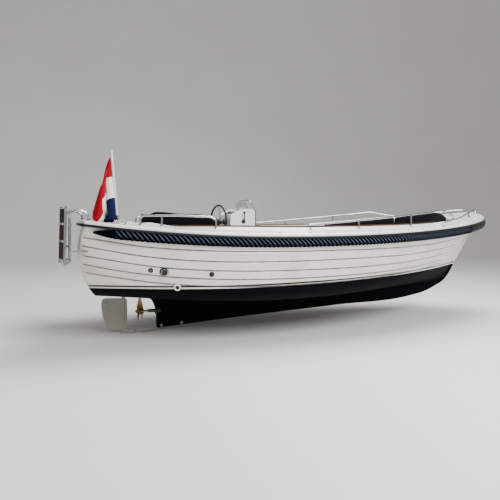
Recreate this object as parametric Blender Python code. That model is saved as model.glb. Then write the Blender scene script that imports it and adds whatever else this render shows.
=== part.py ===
# Open launch with a side console, inboard engine, clinker hull and rope fender.
# Metres. +X bow, +Y port, +Z up. The origin lies amidships on the waterline.
# Lengths along the boat are written from the transom and moved to the origin when a piece is made.
import math

import bmesh
import bpy
import numpy as np
from mathutils import Vector

TRANSOM_X = -2.75
GAP = 0.0003

# Fender, the widest line of the boat: plan outline and sheer
FENDER_LENGTH = 5.575
FENDER_HALF_BEAM = 1.049
FENDER_HALF_STERN = 0.843
FENDER_WIDEST = 0.444
BOW_FULLNESS = (2.463, 1.208)
SHEER_LOWEST = 0.534
SHEER_LOWEST_AT = 1.77
SHEER_STERN_RISE = 0.103
SHEER_BOW_RISE = 0.259
FENDER_HEIGHT = 0.108
FENDER_DEPTH = 0.055
BAND_HEIGHT = 0.036
BAND_DEPTH = 0.046

# Boot stripe, where topsides meet the painted bottom
STRIPE_HALF_BEAM = 0.955
STRIPE_HALF_STERN = 0.405
STRIPE_WIDEST = 0.359
STRIPE_FULLNESS = 1.987
STRIPE_Z = 0.049
STRIPE_BOW_RISE = 0.131

# Planks: each land's depth below the sheer amidships, and the lap of one plank over the next
LAND_DEPTHS = (0.147, 0.250, 0.345, 0.432, 0.515)
LAP = 0.009
SKIN = 0.014

# Keel, deadwood and stem profile, from the propeller opening round to the stem head
KEEL_BOTTOM = ((0.838, -0.510), (1.593, -0.454), (3.089, -0.363), (4.244, -0.296))
FOREFOOT = ((4.542, -0.235), (4.700, -0.172), (4.847, -0.100), (4.955, 0.020), (5.042, 0.167))
STEM_HEAD = ((5.308, 0.559), (5.420, 0.724))
APERTURE = ((0.600, -0.100), (0.692, -0.154), (0.774, -0.203), (0.812, -0.281))
KEEL_HALF = 0.042
STEM_HALF = 0.020
KEEL_CHAMFER = 0.012

# Deck edge, coaming and crown of the foredeck
DECK_ABOVE_FENDER = 0.030
COAMING_HEIGHT = 0.088
COAMING_WIDTH = 0.150
COAMING_TOP = 0.036
TEAK_THICK = 0.012
AFT_DECK_END = 0.600
FOREDECK_START = 4.460
DECK_THICK = 0.010

# Cockpit
SOLE_TOP = 0.040
SOLE_THICK = 0.018
SEAT_TOP = 0.360
SEAT_THICK = 0.016
CUSHION_THICK = 0.060

# Console, helm and engine box
CONSOLE_X = (1.797, 2.110)
CONSOLE_Y = (0.300, 0.800)
CONSOLE_TOP = 0.828
DASH_LOW = 0.765
WHEEL_CENTRE = (1.690, 0.500, 0.672)
WHEEL_RADIUS = 0.205
WHEEL_TURN = math.radians(12.0)
ENGINE_BOX_X = (1.450, 2.080)

# Underwater gear
SHAFT_AXIS_Z = -0.322
PROP_X = 0.640
PROP_RADIUS = 0.150
RUDDER_AXIS_X = 0.475
STOCK_RADIUS = 0.016
HEEL_THICK = 0.014

MATERIALS = {
    # name: colour, roughness, metallic
    "gelcoat_hull": ((0.82, 0.81, 0.78), 0.20, 0.0),
    "gelcoat_white": ((0.85, 0.85, 0.83), 0.22, 0.0),
    "navy_rubber": ((0.018, 0.024, 0.060), 0.45, 0.0),
    "navy_fabric": ((0.014, 0.018, 0.050), 0.80, 0.0),
    "stainless": ((0.70, 0.70, 0.70), 0.18, 1.0),
    "teak": ((0.20, 0.10, 0.05), 0.55, 0.0),
    "black_plastic": ((0.012, 0.012, 0.014), 0.40, 0.0),
    "bronze": ((0.55, 0.40, 0.14), 0.30, 1.0),
    "engine_paint": ((0.10, 0.16, 0.22), 0.40, 0.2),
    "clear_acrylic": ((0.75, 0.85, 0.82), 0.05, 0.0),
    "white_paint": ((0.85, 0.85, 0.85), 0.30, 0.0),
    "flag_cloth": ((0.60, 0.10, 0.10), 0.85, 0.0),
    "sole_grey": ((0.55, 0.55, 0.52), 0.70, 0.0),
}


# Scene and mesh helpers
def clear_scene():
    for item in list(bpy.data.objects):
        bpy.data.objects.remove(item, do_unlink=True)


def get_material(name):
    material = bpy.data.materials.get(name)
    if material is None:
        colour, roughness, metallic = MATERIALS[name]
        material = bpy.data.materials.new(name)
        material.use_nodes = True
        shader = material.node_tree.nodes["Principled BSDF"]
        shader.inputs["Base Color"].default_value = (*colour, 1.0)
        shader.inputs["Roughness"].default_value = roughness
        shader.inputs["Metallic"].default_value = metallic
    return material


def make_object(name, points, faces, material, pivot=(0.0, 0.0, 0.0), merge=1e-6):
    """One closed body from points written from the transom; pivot is its object's origin."""
    offset = Vector((TRANSOM_X, 0.0, 0.0))
    origin = Vector(pivot) + offset
    mesh = bpy.data.meshes.new(name)
    mesh.from_pydata([Vector(p) - Vector(pivot) for p in points], [], faces)
    work = bmesh.new()
    work.from_mesh(mesh)
    bmesh.ops.remove_doubles(work, verts=work.verts, dist=merge)
    bmesh.ops.dissolve_degenerate(work, edges=work.edges, dist=merge)
    bmesh.ops.recalc_face_normals(work, faces=work.faces)
    work.to_mesh(mesh)
    work.free()
    mesh.shade_smooth()
    mesh.set_sharp_from_angle(angle=math.radians(35.0))
    body = bpy.data.objects.new(name, mesh)
    body.location = origin
    body.data.materials.append(get_material(material))
    bpy.context.scene.collection.objects.link(body)
    return body


def boolean(target, tool, operation):
    """Joins or cuts the target with a hidden tool body."""
    tool.hide_render = True
    tool.display_type = "WIRE"
    step = target.modifiers.new(tool.name, "BOOLEAN")
    step.operation = operation
    step.solver = "EXACT"
    step.object = tool


def ring_faces(count, rings, closed_ends=True):
    faces = []
    for r in range(rings - 1):
        for k in range(count):
            a = r * count + k
            b = r * count + (k + 1) % count
            faces.append((a, b, b + count, a + count))
    if closed_ends:
        faces.append(tuple(range(count)))
        last = (rings - 1) * count
        faces.append(tuple(last + k for k in reversed(range(count))))
    return faces


def loft(name, rings, material, **options):
    """Closed body through rings of equally many points, capped at both ends."""
    points = [tuple(p) for ring in rings for p in ring]
    return make_object(name, points, ring_faces(len(rings[0]), len(rings)), material, **options)


def slab(name, top, bottom, material, **options):
    """Closed body between two grids of points of the same shape."""
    top = np.asarray(top, float)
    bottom = np.asarray(bottom, float)
    rows, cols = top.shape[:2]
    size = rows * cols
    points = np.concatenate([top.reshape(-1, 3), bottom.reshape(-1, 3)])
    faces = []
    for r in range(rows - 1):
        for c in range(cols - 1):
            a = r * cols + c
            faces.append((a, a + 1, a + cols + 1, a + cols))
            faces.append((size + a, size + a + cols, size + a + cols + 1, size + a + 1))
    edge = [c for c in range(cols - 1)]
    edge += [r * cols + cols - 1 for r in range(rows - 1)]
    edge += [(rows - 1) * cols + c for c in range(cols - 1, 0, -1)]
    edge += [r * cols for r in range(rows - 1, 0, -1)]
    for k, a in enumerate(edge):
        b = edge[(k + 1) % len(edge)]
        faces.append((a, size + a, size + b, b))
    return make_object(name, [tuple(p) for p in points], faces, material, **options)


def frame_along(path):
    """Unit tangents and a turning frame that does not twist, for each point of a path."""
    path = np.asarray(path, float)
    tangents = np.gradient(path, axis=0)
    tangents /= np.linalg.norm(tangents, axis=1)[:, None]
    side = np.cross(tangents[0], (0.0, 0.0, 1.0))
    if np.linalg.norm(side) < 1e-3:
        side = np.cross(tangents[0], (0.0, 1.0, 0.0))
    sides = []
    for tangent in tangents:
        side = side - tangent * np.dot(side, tangent)
        side = side / np.linalg.norm(side)
        sides.append(side)
    sides = np.array(sides)
    return path, tangents, sides, np.cross(tangents, sides)


def tube(name, path, radius, material, sides=8, **options):
    """Round bar along a path; radius may be one value or one for each point."""
    path, _, across, up = frame_along(path)
    radii = np.broadcast_to(np.asarray(radius, float), (len(path),))
    angles = np.arange(sides) * 2.0 * math.pi / sides
    rings = [path[k] + radii[k] * (np.outer(np.cos(angles), across[k]) + np.outer(np.sin(angles), up[k]))
             for k in range(len(path))]
    return loft(name, rings, material, **options)


def rounded_path(corners, radii, steps=4):
    """Straight runs between corners, each inner corner turned on an arc of its own radius."""
    corners = [np.asarray(c, float) for c in corners]
    path = [corners[0]]
    for k in range(1, len(corners) - 1):
        before = corners[k - 1] - corners[k]
        after = corners[k + 1] - corners[k]
        u = before / np.linalg.norm(before)
        v = after / np.linalg.norm(after)
        angle = math.acos(max(-1.0, min(1.0, float(np.dot(u, v)))))
        if radii[k - 1] <= 0.0 or abs(angle - math.pi) < 1e-3:
            path.append(corners[k])
            continue
        reach = radii[k - 1] / math.tan(angle / 2.0)
        centre = corners[k] + (u + v) / np.linalg.norm(u + v) * radii[k - 1] / math.sin(angle / 2.0)
        first = corners[k] + u * reach - centre
        last = corners[k] + v * reach - centre
        turn = math.pi - angle
        for step in range(steps + 1):
            t = step / steps
            arc = first * math.sin((1.0 - t) * turn) + last * math.sin(t * turn)
            path.append(centre + arc / math.sin(turn))
    path.append(corners[-1])
    return path


def cylinder(name, start, end, radius, material, sides=16, **options):
    return tube(name, [start, end], radius, material, sides, **options)


def box(name, low, high, material, **options):
    (x0, y0, z0), (x1, y1, z1) = low, high
    rings = [[(x, y0, z0), (x, y1, z0), (x, y1, z1), (x, y0, z1)] for x in (x0, x1)]
    return loft(name, rings, material, **options)


# Hull lines, all measured from the transom
def fender_half(x, inset=0.0):
    """Half-breadth of the fender's outer face, or of a line inset from it."""
    share = np.clip(np.asarray(x, float) / FENDER_LENGTH, 0.0, 1.0)
    full, power = BOW_FULLNESS
    aft = 1.0 - (1.0 - FENDER_HALF_STERN / FENDER_HALF_BEAM) * ((FENDER_WIDEST - share) / FENDER_WIDEST) ** 2
    t = np.clip((share - FENDER_WIDEST) / (1.0 - FENDER_WIDEST), 0.0, 1.0)
    fore = (1.0 - t ** full) ** (1.0 / power)
    return FENDER_HALF_BEAM * np.where(share < FENDER_WIDEST, aft, fore) - inset


def sheer_z(x):
    """Height of the fender's top edge."""
    x = np.asarray(x, float)
    aft = SHEER_STERN_RISE * ((SHEER_LOWEST_AT - x) / SHEER_LOWEST_AT) ** 2
    fore = SHEER_BOW_RISE * ((x - SHEER_LOWEST_AT) / (FENDER_LENGTH - SHEER_LOWEST_AT)) ** 2
    return SHEER_LOWEST + np.where(x < SHEER_LOWEST_AT, aft, fore)


def stripe_half(share):
    """Half-breadth at the boot stripe, by share of its length."""
    share = np.clip(np.asarray(share, float), 0.0, 1.0)
    drop = 1.0 - STRIPE_HALF_STERN / STRIPE_HALF_BEAM
    aft = 1.0 - drop * ((STRIPE_WIDEST - share) / STRIPE_WIDEST) ** 2
    t = np.clip((share - STRIPE_WIDEST) / (1.0 - STRIPE_WIDEST), 0.0, 1.0)
    return STRIPE_HALF_BEAM * np.where(share < STRIPE_WIDEST, aft, 1.0 - t ** STRIPE_FULLNESS)


def side_half(share):
    """Half-breadth of the planking at the sheer, by share of its length."""
    share = np.clip(np.asarray(share, float), 0.0, 1.0)
    full, power = BOW_FULLNESS
    beam = FENDER_HALF_BEAM - FENDER_DEPTH
    stern = FENDER_HALF_STERN - FENDER_DEPTH
    aft = 1.0 - (1.0 - stern / beam) * ((FENDER_WIDEST - share) / FENDER_WIDEST) ** 2
    t = np.clip((share - FENDER_WIDEST) / (1.0 - FENDER_WIDEST), 0.0, 1.0)
    return beam * np.where(share < FENDER_WIDEST, aft, (1.0 - t ** full) ** (1.0 / power))


def stem_x(z):
    """Fore face of the stem at a height."""
    profile = FOREFOOT + STEM_HEAD
    return float(np.interp(z, [p[1] for p in profile], [p[0] for p in profile]))


def transom_x(z):
    """Aft face of the transom on the centreline: upright above, turned under below."""
    return 0.75 * (z - 0.38) ** 2 - 0.01


def bottom_z(share):
    """Height of the canoe body's bottom on the centreline."""
    return -0.118 - 0.085 * math.sin(math.pi * min(max(share, 0.0), 1.0) ** 0.85) ** 1.3


CORNER_SET = 0.048
STATIONS = (0.0, 0.03, 0.08, 0.15, 0.23, 0.32, 0.41, 0.50, 0.59, 0.67, 0.74, 0.80, 0.86, 0.91, 0.95,
            0.98, 1.0)
BILGE_ANGLES = (16, 32, 48, 64, 78, 90)


def level_height(share, depth):
    """Height of a plank line that lies a given depth below the sheer."""
    x = share * FENDER_LENGTH * 0.985
    stretch = 0.93 + 0.14 * min(share / 0.4, 1.0) * 0.5 + 0.10 * max(share - 0.4, 0.0)
    return float(sheer_z(x)) - depth * stretch


def stripe_height(share):
    return STRIPE_Z + STRIPE_BOW_RISE * share ** 3


def section_points(share, skin, lap):
    """Half-section at one station, from the sheer down to the centreline: (x, y, z) to starboard.

    Columns of a level: its height, the share of side flare, its lap.
    """
    rows = []
    top_z = level_height(share, 0.0)
    low_z = stripe_height(share)
    side = float(side_half(share)) - skin
    water = float(stripe_half(share)) - skin
    fade = min(1.0, (1.0 - share) / 0.10)
    levels = [(top_z, 0.0)]
    for depth in LAND_DEPTHS:
        z = level_height(share, depth)
        levels.append((z, lap * fade))
        if lap > 0.0:
            levels.append((z - 0.002, 0.0))
    for z, out in levels:
        t = (z - low_z) / (top_z - low_z)
        flare = 1.0 - (1.0 - t) ** 1.25 if t > 0.0 else 1.25 * t
        rows.append([z, max(water + (side - water) * flare, STEM_HALF - skin * 0.5) + out])
    base_z, base_half = rows[-1]
    depth = base_z - (bottom_z(share) + skin)
    power = 2.0 / (2.5 - 0.9 * share ** 2)
    for degrees in BILGE_ANGLES:
        angle = math.radians(degrees)
        rows.append([base_z - depth * math.sin(angle) ** power,
                     base_half * max(math.cos(angle), 0.0) ** power])
    rows[-1][1] = 0.0
    points = []
    for z, half in rows:
        start = transom_x(z) + CORNER_SET + skin
        end_z = z if share > 0.999 else z
        end = stem_x(end_z) - 0.012 - skin * 2.5
        points.append((start + share * (end - start), -half, z))
    return points


def transom_columns(corner, skin):
    """Columns of points from the transom's corner round to its centre."""
    columns = []
    for share, set_back in ((0.0, 1.0), (0.30, 0.93), (0.60, 0.82), (0.85, 0.70), (0.965, 0.42)):
        column = []
        for x, y, z in corner:
            column.append((x - CORNER_SET * set_back, y * share, z))
        columns.append(column)
    return columns


def hull_form(name, skin, lap, lift, material):
    """Closed canoe body; lift raises its top above the sheer for a cutting tool."""
    columns = [section_points(share, skin, lap) for share in STATIONS]
    columns = transom_columns(columns[0], skin) + columns
    if lift > 0.0:
        for column in columns:
            x, y, z = column[0]
            column.insert(0, (x, y, z + lift))
    nose = [(x + 0.006, 0.0, z) for x, y, z in columns[-1]]
    columns.append(nose)
    count = len(columns[0])
    starboard = [p for column in columns for p in column]
    port = [(x, -y, z) for x, y, z in starboard]
    offset = len(starboard)
    faces = []
    for c in range(len(columns) - 1):
        for r in range(count - 1):
            a = c * count + r
            halves = ((a, a + 1, a + count), (a + 1, a + count + 1, a + count))
            if c == len(columns) - 2:
                halves = ((a, a + 1, a + count + 1), (a, a + count + 1, a + count))
            for three in halves:
                faces.append(three)
                faces.append(tuple(offset + k for k in reversed(three)))
        a = c * count
        faces.append((a, a + count, offset + a + count, offset + a))
    return make_object(name, starboard + port, faces, material, merge=2e-5)


def offset_outline(outline, distance):
    """Moves a closed outline inward by a distance, corner by corner."""
    points = np.asarray(outline, float)
    before = np.roll(points, 1, axis=0) - points
    after = np.roll(points, -1, axis=0) - points
    before /= np.linalg.norm(before, axis=1)[:, None]
    after /= np.linalg.norm(after, axis=1)[:, None]
    normal_a = np.stack([before[:, 1], -before[:, 0]], 1)
    normal_b = np.stack([-after[:, 1], after[:, 0]], 1)
    bisector = normal_a + normal_b
    bisector /= np.linalg.norm(bisector, axis=1)[:, None]
    scale = distance / np.maximum(np.sum(bisector * normal_b, axis=1), 0.4)
    return points + bisector * scale[:, None]


def keel_half(x):
    return float(np.interp(x, (0.0, 3.6, 4.9, 6.0), (KEEL_HALF, KEEL_HALF, STEM_HALF, STEM_HALF)))


def build_keel_tool():
    """Deadwood, keel and stem as one plate with chamfered edges."""
    inner = ((5.300, 0.700), (5.150, 0.450), (4.930, 0.180), (4.780, 0.020), (4.500, -0.050),
             (0.640, -0.050))
    outline = list(APERTURE) + list(KEEL_BOTTOM) + list(FOREFOOT) + list(STEM_HEAD) + list(inner)
    small = offset_outline(outline, KEEL_CHAMFER)
    rings = []
    for edge, sign, chamfer in ((small, -1, 0.0), (outline, -1, KEEL_CHAMFER),
                                (outline, 1, KEEL_CHAMFER), (small, 1, 0.0)):
        rings.append([(x, sign * (keel_half(x) - chamfer), z) for x, z in edge])
    return loft("tool_keel", rings, "gelcoat_hull")


def build_hull():
    hull = hull_form("hull", 0.0, LAP, 0.0, "gelcoat_hull")
    boolean(hull, build_keel_tool(), "UNION")
    boolean(hull, hull_form("tool_cavity", SKIN, 0.0, 0.25, "gelcoat_hull"), "DIFFERENCE")
    pocket = cylinder("tool_stern_tube", (0.700, 0, SHAFT_AXIS_Z), (0.900, 0, SHAFT_AXIS_Z), 0.0305,
                      "bronze", 20)
    boolean(hull, pocket, "DIFFERENCE")
    stock = cylinder("tool_stock", (RUDDER_AXIS_X, 0, -0.30), (RUDDER_AXIS_X, 0, 0.10),
                     STOCK_RADIUS + 0.0004, "stainless", 20)
    boolean(hull, stock, "DIFFERENCE")
    start, end = exhaust_ends()
    boolean(hull, cylinder("tool_exhaust", start, end, EXHAUST_RADIUS + GAP, "stainless", 16),
            "DIFFERENCE")


# Fender: a flat band above, a rope roll below and a smooth piece round the stem
def side_stations(start, end, count):
    return np.linspace(start, end, count)


def fender_frames(stations, side):
    """For each station: a point on the planking at the sheer, and the outward direction in plan."""
    frames = []
    for x in stations:
        step = 0.01
        half = float(fender_half(x))
        ahead = float(fender_half(min(x + step, FENDER_LENGTH - 1e-4)))
        behind = float(fender_half(max(x - step, 0.0)))
        slope = (ahead - behind) / (2.0 * step)
        normal = np.array([-slope, 1.0]) / math.hypot(slope, 1.0)
        point = np.array([x, half]) - normal * FENDER_DEPTH
        frames.append((point, normal))
    return [(np.array([p[0], side * p[1]]), np.array([n[0], side * n[1]])) for p, n in frames]


def sweep_profile(frames, profile):
    """Rings of (out, down) profile points set off each frame."""
    rings = []
    for point, normal in frames:
        ring = []
        for out, up in profile:
            x = point[0] + normal[0] * out
            ring.append((x, point[1] + normal[1] * out, float(sheer_z(x)) + up))
        rings.append(ring)
    return rings


BAND_PROFILE = ((-0.012, 0.0), (BAND_DEPTH - 0.008, 0.0), (BAND_DEPTH, -0.008),
                (BAND_DEPTH, -BAND_HEIGHT + 0.004), (BAND_DEPTH - 0.006, -BAND_HEIGHT),
                (-0.012, -BAND_HEIGHT))
ROLL_CENTRE = (0.018, -0.0698)
ROLL_RADIUS = 0.037


def roll_profile(scale):
    """Round of the rope roll, flat against the planking."""
    points = [(-0.020, ROLL_CENTRE[1] + ROLL_RADIUS * 0.9 * scale)]
    for degrees in (64, 40, 15, -15, -40, -64):
        angle = math.radians(degrees)
        out = ROLL_CENTRE[0] * scale + ROLL_RADIUS * math.cos(angle) * scale
        points.append((max(out, 0.004), ROLL_CENTRE[1] + ROLL_RADIUS * math.sin(angle) * scale))
    points.append((-0.020, ROLL_CENTRE[1] - ROLL_RADIUS * 0.9 * scale))
    return points


ROPE_START = 0.130
ROPE_END = 4.700
SIDE_STATIONS = (0.6003, 0.72, 0.84, 0.98, 1.20, 1.60, 2.00, 2.40, 2.80, 3.20, 3.60, 4.00, 4.25, 4.4597)
FORE_STATIONS = (4.460, 4.65, 4.85, 5.05, 5.20, 5.32, 5.41, 5.47, 5.51)


def build_rope_fender(side, word):
    stations = np.concatenate([[ROPE_START, 0.20, 0.30], side_stations(0.5, ROPE_END, 20)])
    frames = fender_frames(stations, side)
    rings = []
    for k, frame in enumerate(frames):
        scale = (0.35, 0.75, 1.0)[k] if k < 3 else 1.0
        rings += sweep_profile([frame], roll_profile(scale))
    return loft("rope_fender_" + word, rings, "navy_rubber")


def build_bow_fender():
    """Smooth fender round the stem, from one rope end to the other."""
    stations = list(side_stations(ROPE_END + 0.003, 5.50, 8))
    tip = [(np.array([FENDER_LENGTH - 0.030, 0.0]), np.array([1.0, 0.0]))]
    frames = fender_frames(stations, -1) + tip + fender_frames(stations, 1)[::-1]
    return loft("bow_fender", sweep_profile(frames, roll_profile(1.0)), "navy_rubber")


# Transom corner in plan: share of the half-breadth, set-back aft of the corner's start, outward x and y
CORNER = ((0.965, 0.42, -0.72, 0.69), (0.85, 0.70, -0.97, 0.24), (0.60, 0.82, -0.995, 0.09),
          (0.30, 0.93, -0.998, 0.05), (0.0, 1.0, -1.0, 0.0))


def stern_frames():
    """Points and outward directions across the transom at the sheer, starboard to port."""
    half = FENDER_HALF_STERN - FENDER_DEPTH
    start = transom_x(float(sheer_z(0.0))) + CORNER_SET
    starboard = []
    for share, set_back, nx, ny in CORNER:
        point = np.array([start - CORNER_SET * set_back, -share * half])
        starboard.append((point, np.array([nx, -ny]) / math.hypot(nx, ny)))
    port = [(p * (1, -1), n * (1, -1)) for p, n in starboard[:-1]]
    return starboard + port[::-1]


def build_fender_band():
    """Flat band in one length, from the bow round the stern and back to the bow."""
    stations = [0.10, 0.27, 0.44] + list(SIDE_STATIONS) + list(FORE_STATIONS[1:-1])
    frames = fender_frames(stations, -1)[::-1] + stern_frames() + fender_frames(stations, 1)
    return loft("fender_band", sweep_profile(frames, BAND_PROFILE), "navy_rubber")


def build_fenders():
    hull_room = hull_form("tool_hull_room", -0.0004, LAP, 0.02, "gelcoat_hull")
    for body in (build_fender_band(), build_bow_fender(), build_rope_fender(-1, "starboard"),
                 build_rope_fender(1, "port")):
        boolean(body, hull_room, "DIFFERENCE")


# Deck mouldings
def coaming_z(x):
    """Top of the white coaming, under the teak cap."""
    rise = float(np.interp(x, (0.0, 0.47, 0.56, 0.64, 0.74, 0.86, 1.1, 1.6, 2.4, 3.2, 4.0, 4.6),
                           (0.030, 0.030, 0.062, 0.074, 0.066, 0.058, 0.072, 0.090, 0.092, 0.086, 0.076,
                            0.080)))
    return float(sheer_z(x)) + rise


DECK_SEAT = 0.0008


def deck_height(x):
    """Height of the stern deck."""
    return float(sheer_z(x)) + DECK_ABOVE_FENDER


def side_deck_section(x):
    """Upper and lower (half-breadth, z) points, from the fender's top edge in to the liner's lip."""
    half = float(fender_half(x))
    edge = float(sheer_z(x))
    rim = edge + DECK_ABOVE_FENDER
    top = coaming_z(x)
    middle = rim + 0.45 * (top - rim)
    lip = half - COAMING_WIDTH - COAMING_TOP - 0.004
    thick = DECK_THICK
    upper = [(half - 0.020, edge + DECK_SEAT), (half - 0.026, edge + 0.020), (half - 0.044, rim),
             (half - 0.110, middle), (half - COAMING_WIDTH, top - 0.006),
             (half - COAMING_WIDTH - 0.010, top),
             (lip + 0.004, top), (lip, top - 0.006), (lip, top - 0.075)]
    lower = [(half - 0.020 - thick, edge + DECK_SEAT), (half - 0.035, edge + 0.015),
             (half - 0.047, rim - thick),
             (half - 0.108, middle - thick), (half - COAMING_WIDTH + 0.001, top - 0.006 - thick),
             (half - COAMING_WIDTH - 0.010, top - thick), (lip + 0.014, top - thick),
             (lip + thick, top - thick - 0.004),
             (lip + thick, top - 0.075)]
    return upper, lower


def build_side_deck(side, word):
    top = []
    bottom = []
    for x in SIDE_STATIONS:
        section, under = side_deck_section(x)
        top.append([(x, side * y, z) for y, z in section])
        bottom.append([(x, side * y, z) for y, z in under])
    slab("side_deck_" + word, top, bottom, "gelcoat_white")


def build_teak(side, word):
    rings = []
    for x in SIDE_STATIONS[2:12]:
        half = float(fender_half(x))
        low = coaming_z(x) + GAP
        outer = half - COAMING_WIDTH - 0.004
        inner = half - COAMING_WIDTH - COAMING_TOP - 0.004
        profile = [(outer, low), (outer, low + TEAK_THICK - 0.003), (outer - 0.004, low + TEAK_THICK),
                   (inner + 0.004, low + TEAK_THICK), (inner, low + TEAK_THICK - 0.003), (inner, low)]
        rings.append([(x, side * y, z) for y, z in profile])
    loft("teak_cap_" + word, rings, "teak")


def side_deck_height(x, y):
    """Height of the side deck's upper face at a half-breadth."""
    section = side_deck_section(x)[0][:7]
    return float(np.interp(-abs(y), [-p[0] for p in section], [p[1] for p in section]))


def foredeck_height(x, y):
    """Height of the foredeck's upper face."""
    half = float(fender_half(x)) - 0.020
    edge = float(sheer_z(x)) + DECK_SEAT
    round_in = 1.0 - min(abs(y) / half, 1.0) ** 2.2
    return edge + DECK_ABOVE_FENDER + (crown_z(x) - edge - DECK_ABOVE_FENDER) * round_in


def any_deck_height(x, y):
    if x < AFT_DECK_END:
        return deck_height(x)
    if x < FOREDECK_START:
        return side_deck_height(x, y)
    return foredeck_height(x, y)


def foot(name, x, y, radius, top, top_radius, material, sides=8, flange=0.0, gap=0.0010):
    """Post whose lowest ring follows the deck; a flange is its wider foot's height."""
    turns = np.arange(sides) * 2.0 * math.pi / sides
    ring = [(x + radius * math.cos(a), y + radius * math.sin(a)) for a in turns]
    rings = [[(px, py, any_deck_height(px, py) + gap) for px, py in ring]]
    if flange > 0.0:
        rings.append([(px, py, z + flange) for px, py, z in rings[0]])
        rings.append([(x + top_radius * math.cos(a), y + top_radius * math.sin(a), rings[1][k][2] + 0.002)
                      for k, a in enumerate(turns)])
    rings.append([(top[0] + top_radius * math.cos(a), top[1] + top_radius * math.sin(a),
                   top[2]) for a in turns])
    return loft(name, rings, material)


def build_aft_deck():
    """Flat stern deck with its turned-down rim and the bulkhead below its fore edge."""
    shares = (-1.0, -0.985, -0.95, -0.85, -0.6, -0.3, 0.0, 0.3, 0.6, 0.85, 0.95, 0.985, 1.0)
    top = []
    bottom = []
    for step in (0.0, 0.02, 0.06, 0.35, 0.7, 1.0):
        row = []
        under = []
        for share in shares:
            edge_set = float(np.interp(abs(share), (0, 0.6, 0.85, 0.95, 1.0),
                                       (0.0, 0.010, 0.016, 0.028, 0.050)))
            start = transom_x(0.63) - 0.030 + edge_set
            x = start + step * (AFT_DECK_END - start)
            half = float(fender_half(x)) - 0.020
            drop = 0.0
            if abs(share) > 0.99:
                drop = DECK_ABOVE_FENDER - DECK_SEAT
            elif abs(share) > 0.98:
                drop = 0.008
            if step == 0.0:
                drop = DECK_ABOVE_FENDER - DECK_SEAT
            elif step < 0.03:
                drop = max(drop, 0.006)
            z = deck_height(x) - drop
            row.append((x, share * half, z))
            inside = min(1.0, abs(share) / 0.96)
            x_in = max(x, start + 0.012)
            low = deck_height(x) - DECK_THICK if drop < DECK_ABOVE_FENDER - DECK_SEAT else z
            under.append((x_in, share * (half - 0.012 * inside), min(low, z)))
        top.append(row)
        bottom.append(under)
    slab("aft_deck", top, bottom, "gelcoat_white")


FOREDECK_CROWN = ((4.46, 0.800), (4.70, 0.815), (4.97, 0.834), (5.11, 0.850), (5.30, 0.866),
                  (5.42, 0.858), (5.50, 0.822))


def crown_z(x):
    return float(np.interp(x, [p[0] for p in FOREDECK_CROWN], [p[1] for p in FOREDECK_CROWN]))


def build_foredeck():
    shares = (-1.0, -0.985, -0.93, -0.75, -0.5, -0.25, 0.0, 0.25, 0.5, 0.75, 0.93, 0.985, 1.0)
    top = []
    bottom = []
    for x in FORE_STATIONS:
        half = max(float(fender_half(x)) - 0.020, 0.03)
        edge = float(sheer_z(x)) + DECK_SEAT
        crown = crown_z(x)
        row = []
        under = []
        for share in shares:
            round_in = 1.0 - abs(share) ** 2.2
            z = edge + DECK_ABOVE_FENDER + (crown - edge - DECK_ABOVE_FENDER) * round_in
            if abs(share) > 0.99:
                z = edge
            elif abs(share) > 0.98:
                z = edge + DECK_ABOVE_FENDER * 0.75
            row.append((x, share * half, z))
            if abs(share) > 0.99:
                under.append((x, share * (half - DECK_THICK), z))
            else:
                under.append((x, share * (half - DECK_THICK), z - DECK_THICK * 1.3))
        top.append(row)
        bottom.append(under)
    slab("foredeck", top, bottom, "gelcoat_white")


# Cockpit moulding
def inner_half(x, z):
    """Half-breadth inside the planking at a height, less a small clearance."""
    share = (x - 0.05) / (stem_x(z) - 0.1)
    top_z = level_height(share, 0.0)
    low_z = stripe_height(share)
    side = float(side_half(share)) - SKIN
    water = float(stripe_half(share)) - SKIN
    t = (z - low_z) / (top_z - low_z)
    flare = 1.0 - (1.0 - t) ** 1.25 if t > 0.0 else 1.25 * t
    return water + (side - water) * flare - 0.010


SOLE_X = (0.620, 4.300)


def build_sole():
    shares = (-1.0, -0.6, -0.2, 0.2, 0.6, 1.0)
    top = []
    bottom = []
    for x in side_stations(SOLE_X[0], SOLE_X[1], 11):
        half = inner_half(x, SOLE_TOP - SOLE_THICK) * 0.93 - 0.03
        top.append([(x, share * half, SOLE_TOP) for share in shares])
        bottom.append([(x, share * (half - 0.008), SOLE_TOP - SOLE_THICK) for share in shares])
    sole = slab("cockpit_sole", top, bottom, "sole_grey")
    cut = box("tool_engine_hatch", (ENGINE_BOX_X[0] + 0.03, -0.205, -0.1), (2.055, 0.205, 0.2),
              "sole_grey")
    boolean(sole, cut, "DIFFERENCE")


def bench(name, path, outer, material="gelcoat_white"):
    """Seat top and riser that follow the well's edge.

    path holds the (x, y) of the well's edge, outer the (x, y) of the seat's back edge beside it.
    """
    path = np.asarray(path, float)
    outer = np.asarray(outer, float)
    back = outer - path
    back /= np.linalg.norm(back, axis=1)[:, None]
    top = []
    bottom = []
    for k in range(len(path)):
        front = path[k]
        nose = front + back[k] * 0.014
        under = front + back[k] * SEAT_THICK
        top.append([(*outer[k], SEAT_TOP), (*nose, SEAT_TOP), (*front, SEAT_TOP - 0.014),
                    (*front, SOLE_TOP + GAP)])
        bottom.append([(*outer[k], SEAT_TOP - SEAT_THICK), (*(front + back[k] * 0.020),
                                                            SEAT_TOP - SEAT_THICK),
                       (*under, SEAT_TOP - SEAT_THICK - 0.004), (*under, SOLE_TOP + GAP)])
    return slab(name, top, bottom, material)


AFT_WELL = ((1.42, -0.40), (1.20, -0.40), (1.06, -0.39), (0.99, -0.34), (0.97, -0.25), (0.97, 0.0))
AFT_SEAT_BACK = ((1.42, 0.0), (1.20, 0.0), (1.02, 0.0), (0.80, 0.0), (0.600, -0.50), (0.600, 0.0))


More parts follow.
